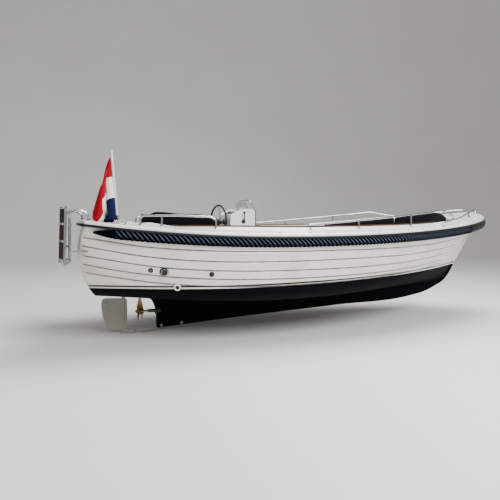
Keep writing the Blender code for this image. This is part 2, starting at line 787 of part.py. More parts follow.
def aft_bench_lines():
    well = list(AFT_WELL)
    back = []
    for (x, y), (bx, by) in zip(AFT_WELL, AFT_SEAT_BACK):
        back.append((bx, by if by or y == 0.0 else -inner_half(bx, SEAT_TOP) - 0.030))
    well += [(x, -y) for x, y in reversed(well[:-1])]
    back += [(x, -y) for x, y in reversed(back[:-1])]
    return well, back


BOW_WELL = ((2.42, -0.42), (2.80, -0.43), (3.30, -0.40), (3.70, -0.33), (3.95, -0.24), (4.04, -0.14),
            (4.06, 0.0))
BOW_SEAT_BACK_X = (2.42, 2.82, 3.36, 3.86, 4.22, 4.46)


def bow_bench_lines():
    well = list(BOW_WELL)
    back = [(x, -inner_half(x, SEAT_TOP) - 0.030) for x in BOW_SEAT_BACK_X]
    back.append((4.46, 0.0))
    well += [(x, -y) for x, y in reversed(well[:-1])]
    back += [(x, -y) for x, y in reversed(back[:-1])]
    return well, back


def seat_cushion(name, well, back, inset):
    """Flat pad on a bench, kept inside its edges."""
    well = np.asarray(well, float)
    back = np.asarray(back, float)
    across = back - well
    across /= np.linalg.norm(across, axis=1)[:, None]
    front = well + across * inset
    rear = back - across * inset
    low = SEAT_TOP + GAP
    rings = []
    for a, b in zip(front, rear):
        rings.append([(*a, low), (*a, low + CUSHION_THICK - 0.012),
                      (*(a + (b - a) * 0.04), low + CUSHION_THICK),
                      (*(b - (b - a) * 0.04), low + CUSHION_THICK), (*b, low + CUSHION_THICK - 0.012),
                      (*b, low)])
    return loft(name, rings, "navy_fabric")


def build_benches():
    room = hull_form("tool_cockpit_room", SKIN + 0.0004, 0.0, 0.30, "gelcoat_hull")
    well, back = aft_bench_lines()
    boolean(bench("aft_bench", well, back), room, "INTERSECT")
    boolean(seat_cushion("aft_seat_cushion", well, back, 0.020), room, "INTERSECT")
    well, back = bow_bench_lines()
    boolean(bench("bow_bench", well, back), room, "INTERSECT")
    boolean(seat_cushion("bow_seat_cushion", well, back, 0.020), room, "INTERSECT")
    for side, word in ((-1, "starboard"), (1, "port")):
        boolean(back_cushion("bow_back_cushion_" + word, side, BOW_BACK), room, "INTERSECT")
    rings = []
    for x in (0.585, 0.599):
        top = deck_height(x) - DECK_THICK - 0.0010
        rings.append([(x, -0.90, SOLE_TOP + GAP), (x, 0.90, SOLE_TOP + GAP), (x, 0.90, top),
                      (x, -0.90, top)])
    boolean(loft("aft_bulkhead", rings, "gelcoat_hull"), room, "INTERSECT")
    rings = []
    for x in (4.4605, 4.4740):
        half = float(fender_half(4.460)) - 0.020
        top = [(x,
                share * (half - DECK_THICK),
                foredeck_height(4.460, share * half) - DECK_THICK * 1.3 - 0.0008)
               for share in (0.90, 0.75, 0.5, 0.25, 0.0, -0.25, -0.5, -0.75, -0.90)]
        low = SEAT_TOP - 0.10
        rings.append([(x, top[-1][1], low), (x, top[0][1], low)] + top)
    boolean(loft("bow_bulkhead", rings, "gelcoat_hull"), room, "INTERSECT")
    engine = box("engine", (1.530, -0.190, -0.200), (2.020, 0.190, 0.280), "engine_paint")
    boolean(engine, room, "INTERSECT")


# Console and helm
def build_console():
    x0, x1 = CONSOLE_X
    y0, y1 = CONSOLE_Y
    profile = [(x0, SOLE_TOP + GAP), (x0, DASH_LOW - 0.01), (x0 + 0.008, DASH_LOW),
               (x0 + 0.125, CONSOLE_TOP - 0.004),
               (x0 + 0.140, CONSOLE_TOP), (x1 - 0.045, CONSOLE_TOP), (x1 - 0.016, CONSOLE_TOP - 0.022),
               (x1, SOLE_TOP + GAP)]
    small = offset_outline(profile, 0.010)
    small[0][1] = SOLE_TOP + GAP
    small[-1][1] = SOLE_TOP + GAP
    rings = [[(x, y0, z) for x, z in small], [(x, y0 + 0.012, z) for x, z in profile],
             [(x, y1 - 0.012, z) for x, z in profile], [(x, y1, z) for x, z in small]]
    console = loft("console", rings, "gelcoat_white")
    inside = [(x0 + 0.014, 0.0), (x0 + 0.014, DASH_LOW - 0.02), (x0 + 0.135, CONSOLE_TOP - 0.016),
              (x1 - 0.040, CONSOLE_TOP - 0.016), (x1 - 0.014, 0.0)]
    rings = [[(x, y, z) for x, z in inside] for y in (y0 + 0.022, y1 - 0.022)]
    boolean(console, loft("tool_console", rings, "gelcoat_white"), "DIFFERENCE")


def dash_point(along, y, lift):
    """Point on the sloping dash: along runs up its slope, lift stands off it."""
    x0 = CONSOLE_X[0] + 0.008
    run = np.array([0.117, CONSOLE_TOP - 0.004 - DASH_LOW])
    length = np.linalg.norm(run)
    run /= length
    normal = np.array([-run[1], run[0]])
    x, z = np.array([x0, DASH_LOW]) + run * along + normal * lift
    return (x, y, z)


def build_dash_parts():
    rings = [[dash_point(a, y, h) for a, h in ((0.022, GAP), (0.022, 0.006), (0.026, 0.008),
                                               (0.106, 0.008), (0.110, 0.006), (0.110, GAP))]
             for y in (0.330, 0.620)]
    loft("instrument_panel", rings, "black_plastic")


def helm_axis():
    return np.array([math.cos(WHEEL_TURN), math.sin(WHEEL_TURN), 0.0])


def build_helm():
    axis = helm_axis()
    centre = np.array(WHEEL_CENTRE)
    side = np.array([-axis[1], axis[0], 0.0])
    up = np.array([0.0, 0.0, 1.0])
    count = 24
    sides = 6
    points = []
    for k in range(count):
        turn = 2.0 * math.pi * k / count
        out = side * math.cos(turn) + up * math.sin(turn)
        for s in range(sides):
            angle = 2.0 * math.pi * s / sides
            reach = WHEEL_RADIUS + 0.013 * math.cos(angle)
            points.append(centre + out * reach + axis * 0.013 * math.sin(angle))
    faces = []
    for k in range(count):
        for s in range(sides):
            a = k * sides + s
            b = k * sides + (s + 1) % sides
            c = ((k + 1) % count) * sides + (s + 1) % sides
            d = ((k + 1) % count) * sides + s
            faces.append((a, b, c, d))
    wheel = make_object("steering_wheel", points, faces, "black_plastic", pivot=WHEEL_CENTRE)
    hub = tube("tool_hub", [centre + axis * a for a in (-0.004, 0.0, 0.050, 0.055, 0.0555, 0.075)],
               (0.028, 0.034, 0.034, 0.030, 0.010, 0.010), "black_plastic", 16)
    boolean(wheel, hub, "UNION")
    for number, degrees in enumerate((90, 210, 330)):
        turn = math.radians(degrees)
        out = side * math.cos(turn) + up * math.sin(turn)
        rim = centre + out * (WHEEL_RADIUS - 0.002)
        spoke = tube("tool_spoke_" + str(number), [centre + out * 0.015 + axis * 0.030, rim], 0.009,
                     "black_plastic", 8)
        boolean(wheel, spoke, "UNION")
    reach = (CONSOLE_X[0] - centre[0]) / axis[0]
    start = centre + axis * 0.0605
    end = centre + axis * (reach - 0.012)
    profile = cylinder("helm_bezel", start, end, 0.030, "black_plastic", 16)
    plate = [[(x, centre[1] + axis[1] * reach + 0.045 * math.cos(t), centre[2] + 0.045 * math.sin(t))
             for t in np.arange(16) * math.pi / 8.0] for x in (CONSOLE_X[0] - 0.022, CONSOLE_X[0] - GAP)]
    boolean(profile, loft("tool_bezel", plate, "black_plastic"), "UNION")
    bore = cylinder("tool_helm_bore", centre + axis * 0.055, centre + axis * 0.080, 0.0105,
                    "black_plastic", 16)
    boolean(profile, bore, "DIFFERENCE")


def build_throttle():
    """Side-mounted engine lever on the console's inboard face; a small control without a joint."""
    y = CONSOLE_Y[0]
    base = cylinder("throttle", (1.955, y - GAP, 0.672), (1.955, y - 0.022, 0.672), 0.026, "stainless",
                    16)
    lever = tube("tool_lever",
                 [(1.955, y - 0.012, 0.672), (1.955, y - 0.030, 0.690), (1.955, y - 0.034, 0.785)],
                 0.006, "stainless", 8)
    boolean(base, lever, "UNION")
    knob = tube("tool_knob",
                [(1.955, y - 0.034, 0.776), (1.955, y - 0.034, 0.784), (1.955, y - 0.034, 0.800),
                 (1.955, y - 0.034, 0.806)],
                (0.010, 0.018, 0.018, 0.010), "black_plastic", 12)
    boolean(base, knob, "UNION")


def build_windscreen():
    low = CONSOLE_TOP + GAP
    rings = [[(x, y, z) for x, z in ((2.020, low), (2.026, low), (2.004, 0.926),
                                     (1.998, 0.926))] for y in (0.335, 0.765)]
    loft("windscreen", rings, "clear_acrylic")
    foot = 0.560
    corners = [(2.0935, 0.335, foot), (2.126, 0.335, foot), (2.126, 0.335, 0.80), (2.045, 0.345, 0.948),
               (2.045, 0.755, 0.948), (2.126, 0.765, 0.80), (2.126, 0.765, foot), (2.0935, 0.765, foot)]
    front = CONSOLE_X[1] - 0.016 + 0.016 * (CONSOLE_TOP - 0.022 - foot) / (CONSOLE_TOP - 0.022 - SOLE_TOP)
    corners[0] = (front + 0.0008, 0.335, foot)
    corners[-1] = (front + 0.0008, 0.765, foot)
    path = rounded_path(corners, (0.018, 0.09, 0.045, 0.045, 0.09, 0.018), 3)
    tube("console_hoop", path, 0.011, "stainless", 6)


# Engine box
def build_engine_box():
    x0, x1 = ENGINE_BOX_X
    low = SOLE_TOP + GAP
    rings = []
    for inset, z in ((0.0, low), (0.0, 0.385), (0.012, 0.400)):
        rings.append([(x0 + inset, -0.232 + inset, z), (x1 - inset, -0.232 + inset, z),
                      (x1 - inset, 0.232 - inset, z), (x0 + inset, 0.232 - inset, z)])
    cover = loft("engine_box", rings, "gelcoat_white", pivot=(x1, 0.0, low))
    boolean(cover,
            box("tool_engine_box", (x0 + 0.014, -0.218, 0.0), (x1 - 0.014, 0.218, 0.384),
                "gelcoat_white"), "DIFFERENCE")


# Stern gear
def blade_grids(turn):
    """Front and back faces of one screw blade: pitch twist along the radius, rounded outline."""
    front = []
    back = []
    for r in (0.020, 0.045, 0.075, 0.105, 0.130, 0.145):
        pitch = math.atan2(0.190, 2.0 * math.pi * r)
        chord = 0.105 * math.sqrt(max(1.0 - ((r - 0.085) / 0.068) ** 2, 0.05)) if r > 0.05 else 0.060
        thick = 0.010 - 0.045 * r
        row_f = []
        row_b = []
        for c in (-0.5, -0.2, 0.2, 0.5):
            along = c * chord
            edge = 0.25 if abs(c) == 0.5 else 1.0
            angle = turn + along * math.cos(pitch) / r
            x = along * math.sin(pitch)
            for row, sign in ((row_f, 1.0), (row_b, -1.0)):
                shift = sign * thick * edge * 0.5
                a = angle - shift * math.sin(pitch) / r
                row.append((PROP_X + 0.010 + x + shift * math.cos(pitch), r * math.sin(a),
                            SHAFT_AXIS_Z + r * math.cos(a)))
        front.append(row_f)
        back.append(row_b)
    return front, back


def build_propeller():
    pivot = (PROP_X, 0.0, SHAFT_AXIS_Z)
    path = [(PROP_X - 0.040, 0, SHAFT_AXIS_Z), (PROP_X - 0.034, 0, SHAFT_AXIS_Z),
            (PROP_X - 0.015, 0, SHAFT_AXIS_Z),
            (PROP_X + 0.045, 0, SHAFT_AXIS_Z), (PROP_X + 0.050, 0, SHAFT_AXIS_Z)]
    hub = tube("propeller", path, (0.008, 0.018, 0.026, 0.029, 0.024), "bronze", 16, pivot=pivot)
    for number in range(3):
        front, back = blade_grids(number * 2.0 * math.pi / 3.0 + 0.2)
        boolean(hub, slab("tool_blade_" + str(number), front, back, "bronze"), "UNION")
    shaft = cylinder("tool_shaft", (PROP_X + 0.03, 0, SHAFT_AXIS_Z), (0.850, 0, SHAFT_AXIS_Z), 0.0125,
                     "stainless", 12)
    boolean(hub, shaft, "UNION")
    outer = cylinder("stern_tube", (0.735, 0, SHAFT_AXIS_Z), (0.8995, 0, SHAFT_AXIS_Z), 0.030, "bronze",
                     20)
    bore = cylinder("tool_bore", (0.70, 0, SHAFT_AXIS_Z), (0.855, 0, SHAFT_AXIS_Z), 0.0130, "bronze", 16)
    boolean(outer, bore, "DIFFERENCE")


RUDDER_OUTLINE = ((0.514, -0.172), (0.290, -0.164), (0.262, -0.170), (0.245, -0.195), (0.243, -0.240),
                  (0.247, -0.300),
                  (0.262, -0.375), (0.284, -0.440), (0.316, -0.494), (0.340, -0.515), (0.362, -0.521),
                  (0.514, -0.521))


def build_rudder():
    pivot = (RUDDER_AXIS_X, 0.0, -0.30)
    rings = [[(x, y, z) for x, z in RUDDER_OUTLINE] for y in (-0.006, 0.006)]
    rudder = loft("rudder", rings, "stainless", pivot=pivot)
    stock = cylinder("tool_rudder_stock", (RUDDER_AXIS_X, 0, -0.549), (RUDDER_AXIS_X, 0, -0.060),
                     STOCK_RADIUS, "stainless", 16)
    boolean(rudder, stock, "UNION")


def build_heel():
    """Flat bar from under the keel to the rudder's heel bearing."""
    line = ((1.020, -0.4972), (0.838, -0.5108), (0.700, -0.5310), (0.600, -0.5345), (0.440, -0.5345))
    rings = []
    for x, z in line:
        z = z - GAP
        half = 0.030 if x < 0.65 else 0.024
        rings.append([(x, -half, z), (x, half, z), (x, half, z - HEEL_THICK), (x, -half, z - HEEL_THICK)])
    bar = loft("heel_bar", rings, "stainless")
    hole = cylinder("tool_heel_hole", (RUDDER_AXIS_X, 0, -0.60), (RUDDER_AXIS_X, 0, -0.52),
                    STOCK_RADIUS + 0.0004, "stainless", 20)
    boolean(bar, hole, "DIFFERENCE")


EXHAUST_RADIUS = 0.032


def exhaust_ends():
    """Axis of the exhaust outlet through the starboard planking."""
    start = np.array([0.762, -0.700, 0.205])
    end = np.array([0.762, -0.905, 0.172])
    return start, end


def build_exhaust():
    start, end = exhaust_ends()
    run = (end - start) / np.linalg.norm(end - start)
    outlet = cylinder("exhaust_outlet", start + run * 0.08, start + run * 0.145, EXHAUST_RADIUS,
                      "stainless", 16)
    bore = cylinder("tool_exhaust_bore", start + run * 0.095, end, 0.024, "stainless", 12)
    boolean(outlet, bore, "DIFFERENCE")


# Rails, ladder and stern fittings
def coaming_line(x, side, z):
    """Point at a height over the line of rail feet, just outboard of the coaming's top."""
    return np.array([x, side * (float(fender_half(x)) - COAMING_WIDTH + 0.022), z])


def build_aft_rail(side, word):
    ends = ((0.640, 0.690), (1.222, 0.680))
    corners = [coaming_line(x, side, z) for x, z in
               ((0.640, 0.690), (0.650, 0.727), (0.735, 0.725), (0.820, 0.712), (1.150, 0.716),
                (1.224, 0.686))]
    path = rounded_path(corners, (0.012, 0.10, 0.10, 0.10, 0.05), 2)
    rail = tube("aft_rail_" + word, path, 0.011, "stainless", 6)
    for number, (x, z) in enumerate(ends):
        spot = coaming_line(x, side, z + 0.004)
        boolean(rail,
                foot("tool_aft_foot_" + word + str(number), spot[0], spot[1], 0.017, spot, 0.0095,
                     "stainless", 8, 0.004), "UNION")


def build_bow_seat_rail(side, word):
    points = ((2.222, 0.652, 0.0), (2.690, 0.694, 0.0), (3.185, 0.743, 0.0), (3.800, 0.809, 0.0),
              (4.120, 0.852, 0.010),
              (4.260, 0.824, 0.030), (4.485, 0.787, 0.075))
    corners = [coaming_line(x, side, z) - np.array((0.0, side * inboard, 0.0)) for x, z,
               inboard in points]
    path = rounded_path(corners, (0.6, 0.6, 0.5, 0.06, 0.1), 2)
    rail = tube("bow_seat_rail_" + word, path, 0.011, "stainless", 6)
    for number, (x, z) in enumerate(((2.240, 0.654), (2.822, 0.708), (3.625, 0.789), (4.480, 0.788))):
        spot = coaming_line(x, side, z) - np.array((0.0, side * (0.074 if x > 4.4 else 0.0), 0.0))
        boolean(rail,
                foot("tool_bow_foot_" + word + str(number), spot[0], spot[1], 0.016, spot, 0.009,
                     "stainless", 8, 0.004), "UNION")


def build_bow_handrail(side, word):
    corners = [(4.050, side * 0.835, 0.690), (4.140, side * 0.795, 0.720), (4.300, side * 0.735, 0.742),
               (4.548, side * 0.600, 0.775),
               (4.909, side * 0.370, 0.845), (5.198, side * 0.190, 0.895), (5.300, side * 0.130, 0.898)]
    path = rounded_path(corners, (0.2, 0.4, 0.5, 0.5, 0.2), 2)
    rail = tube("bow_handrail_" + word, path, 0.010, "stainless", 6)
    for number, (x,
                 y,
                 z) in enumerate(((4.056, 0.832, 0.692), (4.909, 0.370, 0.845), (5.292, 0.135, 0.898))):
        post = foot("tool_hand_foot_" + word + str(number), x, side * y, 0.016, (x, side * y, z), 0.009,
                    "stainless", 8, 0.004)
        boolean(rail, post, "UNION")


def build_cleat(side, word):
    z = deck_height(0.39)
    y = side * 0.745
    bar = tube("cleat_" + word,
               [(0.308, y, z + 0.050), (0.340, y, z + 0.046), (0.440, y, z + 0.046),
                (0.472, y, z + 0.050)],
               (0.006, 0.009, 0.009, 0.006), "stainless", 8)
    for number, x in enumerate((0.360, 0.420)):
        leg = foot("tool_leg_" + word + str(number), x, y, 0.011, (x, y, z + 0.046), 0.0075,
                   "stainless", 8)
        boolean(bar, leg, "UNION")


def build_flag():
    staff = tube("flagstaff", [(0.4105, 0, 0.690), (0.352, 0, 1.401)], 0.0125, "white_paint", 10)
    boolean(staff,
            foot("tool_socket", 0.412, 0.0, 0.022, (0.408, 0, 0.720), 0.017, "stainless", 12, 0.006),
            "UNION")
    rings = []
    for x, z, half, reach in ((0.3937, 0.735, 0.020, 0.216), (0.3844, 0.850, 0.026, 0.190),
                              (0.3680, 1.050, 0.024, 0.130),
                              (0.3515, 1.250, 0.016, 0.070), (0.3425, 1.360, 0.008, 0.030)):
        rings.append([(x, -half, z), (x, half, z), (x - reach, half * 0.7, z),
                      (x - reach, -half * 0.7, z)])
    loft("flag", rings, "flag_cloth")


# The ladder stands on the starboard quarter, its width turned a little from square
LADDER_FOOT = np.array([-0.065, -0.760])
LADDER_ANGLE = math.radians(9.0)
LADDER_WIDTH = 0.280
LADDER_HINGE_Z = 0.275


LADDER_PIVOT_OUT = 0.045
LUG_OUTLINE = ((-0.010, 0.294), (0.038, 0.262), (0.052, 0.261), (0.059, 0.275), (0.052, 0.289),
               (-0.006, 0.318))


def ladder_point(across, out, z):
    """Point on the ladder: across its width from the near tube, out aft of its plane."""
    along = np.array([-math.sin(LADDER_ANGLE), math.cos(LADDER_ANGLE)])
    back = np.array([-math.cos(LADDER_ANGLE), -math.sin(LADDER_ANGLE)])
    x, y = LADDER_FOOT + along * across + back * out
    return (x, y, z)


def build_ladder():
    deck = float(sheer_z(0.09)) + DECK_ABOVE_FENDER
    frame = None
    for number, across in enumerate((0.0, LADDER_WIDTH)):
        corners = [ladder_point(across, -0.163, deck + 0.030), ladder_point(across, -0.155, 0.765),
                   ladder_point(across, 0.0, 0.765), ladder_point(across, 0.0, LADDER_HINGE_Z + 0.02)]
        path = rounded_path(corners, (0.055, 0.045), 3)
        name = "ladder_frame" if number == 0 else "tool_ladder_side"
        piece = tube(name, path, 0.0125, "stainless", 8)
        if number == 0:
            frame = piece
        else:
            boolean(frame, piece, "UNION")
        x, y, _ = ladder_point(across, -0.1634, 0.0)
        socket = foot("tool_ladder_foot_" + str(number), x, y, 0.026, (x, y, deck + 0.036), 0.0155,
                      "stainless", 10, 0.005)
        boolean(frame, socket, "UNION")
    for number, z in enumerate((LADDER_HINGE_Z + 0.03, 0.425)):
        reach = 0.0215 if number == 0 else 0.002
        ends = [ladder_point(-reach, 0.0, z), ladder_point(LADDER_WIDTH + reach, 0.0, z)]
        boolean(frame, tube("tool_ladder_bar_" + str(number), ends, 0.0105, "stainless", 8), "UNION")
    for number, across in enumerate((-0.0185, LADDER_WIDTH + 0.0185)):
        rings = [[ladder_point(across + half, out, z) for out, z in LUG_OUTLINE] for half in (-0.003,
                                                                                              0.003)]
        boolean(frame, loft("tool_lug_" + str(number), rings, "stainless"), "UNION")
    hinge = [ladder_point(across, LADDER_PIVOT_OUT, LADDER_HINGE_Z) for across in (-0.030,
                                                                                   LADDER_WIDTH + 0.030)]
    boolean(frame, cylinder("tool_ladder_hole", hinge[0], hinge[1], 0.0065, "stainless", 12),
            "DIFFERENCE")
    stay = [ladder_point(0.0, 0.0, 0.385), ladder_point(0.0, -0.046, 0.385)]
    boolean(frame, tube("tool_ladder_stay", stay, 0.007, "stainless", 6), "UNION")


def build_ladder_steps():
    pivot = ladder_point(LADDER_WIDTH / 2.0, 0.045, LADDER_HINGE_Z)
    near = tube("ladder_steps",
                [ladder_point(0.0, 0.045, LADDER_HINGE_Z - 0.008), ladder_point(0.0, 0.030, 0.775)],
                0.0115, "stainless", 8, pivot=pivot)
    pin = [ladder_point(across, LADDER_PIVOT_OUT, LADDER_HINGE_Z) for across in (-0.026,
                                                                                 LADDER_WIDTH + 0.026)]
    boolean(near, cylinder("tool_ladder_pin", pin[0], pin[1], 0.0060, "stainless", 10), "UNION")
    far = tube("tool_step_side",
               [ladder_point(LADDER_WIDTH, 0.045, LADDER_HINGE_Z - 0.008),
                ladder_point(LADDER_WIDTH, 0.030, 0.775)],
               0.0115, "stainless", 8)
    boolean(near, far, "UNION")
    for number, z in enumerate((0.345, 0.485, 0.625, 0.755)):
        out = 0.045 - 0.015 * (z - LADDER_HINGE_Z) / 0.5
        rings = []
        for across in (0.004, LADDER_WIDTH - 0.004):
            rings.append([ladder_point(across, out - 0.010, z - 0.030),
                          ladder_point(across, out + 0.010, z - 0.030),
                          ladder_point(across, out + 0.010, z + 0.030),
                          ladder_point(across, out - 0.010, z + 0.030)])
        boolean(near, loft("tool_step_" + str(number), rings, "teak"), "UNION")


# Backrest cushions
def back_cushion(name, side, table, thick=0.055):
    """Pad on edge inside the rail. Columns of the table: x, low z, high z."""
    rings = []
    for x, low, high in table:
        outer = float(fender_half(x)) - COAMING_WIDTH - COAMING_TOP - 0.010
        inner = outer - thick
        lean = 0.020
        rings.append([(x, side * (outer - lean), low), (x, side * outer, high - 0.015),
                      (x, side * (outer - 0.012), high),
                      (x, side * (inner + 0.012), high), (x, side * inner, high - 0.015),
                      (x, side * (inner - lean), low)])
    return loft(name, rings, "navy_fabric")


AFT_BACK = ((0.640, 0.4207, 0.735), (0.700, 0.4207, 0.756), (0.780, 0.4207, 0.755),
            (0.892, 0.4207, 0.745),
            (1.105, 0.4207, 0.740), (1.225, 0.4207, 0.728), (1.290, 0.4207, 0.700),
            (1.320, 0.4207, 0.650))
BOW_BACK = ((2.440, 0.4207, 0.660), (2.693, 0.4207, 0.684), (3.185, 0.4207, 0.733),
            (3.700, 0.4207, 0.788),
            (4.050, 0.4207, 0.828), (4.200, 0.4207, 0.815), (4.330, 0.4207, 0.770))


def build_towing_eye():
    """Bent bar on the stem; its ends stand square to the stem's face."""
    run = np.array([STEM_HEAD[0][0] - FOREFOOT[-1][0], 0.0, STEM_HEAD[0][1] - FOREFOOT[-1][1]])
    run /= np.linalg.norm(run)
    out = np.array([run[2], 0.0, -run[0]])
    middle = np.array([stem_x(0.33), 0.0, 0.33])
    path = [middle + run * a + out * b for a, b in
            ((0.034, 0.0006), (0.034, 0.016), (0.022, 0.032), (-0.022, 0.032), (-0.034, 0.016),
             (-0.034, 0.0006))]
    tube("towing_eye", path, 0.005, "stainless", 8)


def build_all():
    clear_scene()
    build_hull()
    build_fenders()
    build_aft_deck()
    build_foredeck()
    build_sole()
    build_benches()
    build_console()
    build_dash_parts()
    build_helm()
    build_throttle()
    build_windscreen()
    build_engine_box()
    build_propeller()
    build_rudder()
    build_heel()
    build_exhaust()
    build_flag()
    build_ladder()
    build_ladder_steps()
    build_towing_eye()
    for side, word in ((-1, "starboard"), (1, "port")):
        build_side_deck(side, word)
        build_teak(side, word)
        build_aft_rail(side, word)
        build_bow_seat_rail(side, word)
        build_bow_handrail(side, word)
        build_cleat(side, word)
        back_cushion("aft_back_cushion_" + word, side, AFT_BACK)


build_all()
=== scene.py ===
from math import acos, atan2, cos, hypot, pi, radians, sin, sqrt, tan

import bmesh
import bpy
import numpy as np
from mathutils import Matrix, Vector
from mathutils.bvhtree import BVHTree


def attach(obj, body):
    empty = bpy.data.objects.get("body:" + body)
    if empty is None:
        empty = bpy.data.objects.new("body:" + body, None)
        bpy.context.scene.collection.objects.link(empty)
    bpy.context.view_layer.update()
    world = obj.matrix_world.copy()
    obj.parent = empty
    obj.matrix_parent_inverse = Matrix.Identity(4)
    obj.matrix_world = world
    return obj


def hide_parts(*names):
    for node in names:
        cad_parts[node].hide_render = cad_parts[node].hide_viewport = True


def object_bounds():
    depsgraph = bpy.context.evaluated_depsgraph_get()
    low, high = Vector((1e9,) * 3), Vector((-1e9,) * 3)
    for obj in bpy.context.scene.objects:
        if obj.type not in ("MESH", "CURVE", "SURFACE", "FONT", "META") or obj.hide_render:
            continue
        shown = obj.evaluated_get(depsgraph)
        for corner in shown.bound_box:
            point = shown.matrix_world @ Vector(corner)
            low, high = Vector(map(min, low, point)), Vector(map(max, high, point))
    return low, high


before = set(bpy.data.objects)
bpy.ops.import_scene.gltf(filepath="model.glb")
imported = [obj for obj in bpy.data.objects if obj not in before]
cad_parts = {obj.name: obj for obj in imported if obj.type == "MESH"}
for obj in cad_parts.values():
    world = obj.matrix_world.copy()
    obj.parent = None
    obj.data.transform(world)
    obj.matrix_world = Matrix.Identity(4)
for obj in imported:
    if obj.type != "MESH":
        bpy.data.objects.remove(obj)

bl_info = {
    "name": "Side console launch",
    "version": (1, 0, 0),
    "blender": (4, 5, 0),
    "location": "View3D > Sidebar > Launch",
    "description": "Surfaces, fittings, soft goods and finishes of an open launch",
    "category": "Mesh",
}

CAD_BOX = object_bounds()
AFT = -2.75                       # the transom's place in the frame; stations are measured from it
LENGTH = 5.575                    # over the fender
BEAM, STERN = 1.049, 0.843        # half-breadths over the fender, at the widest and at the stern
WIDEST, FULL, POWER = 0.444, 2.463, 1.208    # the widest point's share of the length; the bow's two powers
DEPTH = 0.055                     # from the fender's face in to the planking
SKIN = 0.014                      # thickness of the planking
FLARE = 1.25                      # power of the flare from the boot line to the sheer
REACH = 0.985                     # share of the length that the sheer keeps along the planking
LAP_END = 0.907                   # share of the length where the laps run out into the stem
CAMBER = 0.036                    # how far the transom bulges aft
LOWEST, LOWEST_X = 0.534, 1.77    # the sheer's lowest height, and its station
RIM, SEAT_OF_DECK = 0.03, 0.0008  # the decks' rim and underside over the sheer
FOOT, FACE, TOP, LIP = 0.11, 0.15, 0.16, 0.19    # the coaming's lines, in from the fender's face
DECK_START, FORE_START = 0.6, 4.46    # stations where the side decks start and end
SOLE_TOP = 0.0403                 # height of the cockpit's floor
FLAG_HOIST = 0.655                # the flag's side along the staff
LANDS = (                         # depth of each plank's lower edge under the sheer, by share of the length
    ((0.0, 0.03, 0.08, 0.13, 0.25, 0.43, 0.62, 0.67, 0.76, 0.91),
     (0.121, 0.127, 0.142, 0.149, 0.146, 0.147, 0.168, 0.176, 0.185, 0.19)),
    ((0.0, 0.045, 0.09, 0.145, 0.26, 0.43, 0.64, 0.69, 0.78, 0.91),
     (0.199, 0.215, 0.232, 0.243, 0.247, 0.246, 0.267, 0.278, 0.285, 0.29)),
    ((0.0, 0.055, 0.11, 0.165, 0.265, 0.435, 0.65, 0.71, 0.8, 0.91),
     (0.29, 0.306, 0.325, 0.333, 0.335, 0.34, 0.366, 0.376, 0.384, 0.389)),
    ((0.0, 0.047, 0.11, 0.165, 0.265, 0.435, 0.67, 0.73, 0.835, 0.91),
     (0.375, 0.396, 0.412, 0.418, 0.418, 0.424, 0.454, 0.465, 0.476, 0.48)),
    ((0.0, 0.044, 0.105, 0.14, 0.26, 0.43, 0.65, 0.8, 0.91),
     (0.461, 0.472, 0.486, 0.49, 0.491, 0.489, 0.512, 0.53, 0.536)))
GROOVE = (                        # below each plank's edge: depth, share of the lap, painted shade held
    (-0.006, 1.0, 0.0), (-0.0022, 0.95, 0.15), (0.0, 0.55, 1.0), (0.0012, -0.25, 1.0), (0.0105, -0.3, 1.0),
    (0.0145, 0.0, 0.0))
CROWN = (0.0, 0.3, 0.6, 0.85, 0.965)    # the transom's camber by share of its half-breadth
SIDES = (("starboard", -1.0), ("port", 1.0))


# Numbers and lines
def through(x, xs, ys):
    """Smooth line through given points: a cubic between each pair, its slopes taken from the neighbours."""
    x, xs, ys = (np.asarray(v, float) for v in (x, xs, ys))
    slope = np.gradient(ys, xs)
    step = np.diff(ys) / np.diff(xs)
    low = np.minimum(np.r_[step[0], step], np.r_[step, step[-1]])
    high = np.maximum(np.r_[step[0], step], np.r_[step, step[-1]])
    slope = np.clip(slope, np.minimum(3 * high, 0), np.maximum(3 * low, 0))
    k = np.clip(np.searchsorted(xs, x, side="right") - 1, 0, len(xs) - 2)
    run = xs[k + 1] - xs[k]
    t = np.clip((x - xs[k]) / run, 0.0, 1.0)
    return ((1 + 2 * t) * (1 - t) ** 2 * ys[k] + t * (1 - t) ** 2 * run * slope[k]
            + t * t * (3 - 2 * t) * ys[k + 1] - t * t * (1 - t) * run * slope[k + 1])


def plan_half(share, beam=BEAM, stern=STERN):
    """Half-breadth in plan: a parabola aft of the widest point, a superellipse ahead of it."""
    share = np.clip(np.asarray(share, float), 0.0, 1.0)
    aft = 1.0 - (1.0 - stern / beam) * ((WIDEST - share) / WIDEST) ** 2
    t = np.clip((share - WIDEST) / (1.0 - WIDEST), 0.0, 1.0)
    return beam * np.where(share < WIDEST, aft, (1.0 - t ** FULL) ** (1.0 / POWER))


def fender_half(x):
    """Half-breadth over the fender at a station."""
    return plan_half(np.asarray(x, float) / LENGTH)


def sheer_z(x):
    """Height of the fender's top: two parabolas that meet at the lowest point."""
    x = np.asarray(x, float)
    aft = 0.103 * ((LOWEST_X - x) / LOWEST_X) ** 2
    fore = 0.259 * ((x - LOWEST_X) / (LENGTH - LOWEST_X)) ** 2
    return LOWEST + np.where(x < LOWEST_X, aft, fore)


def stripe_half(share):
    """Half-breadth at the boot line: a parabola aft of its widest point, nearly one ahead of it."""
    widest, beam, stern = 0.359, 0.955, 0.405
    share = np.clip(share, 0.0, 1.0)
    t = np.clip((share - widest) / (1.0 - widest), 0.0, 1.0)
    aft = 1.0 - (1.0 - stern / beam) * ((widest - share) / widest) ** 2
    return beam * np.where(share < widest, aft, 1.0 - t ** 1.987)


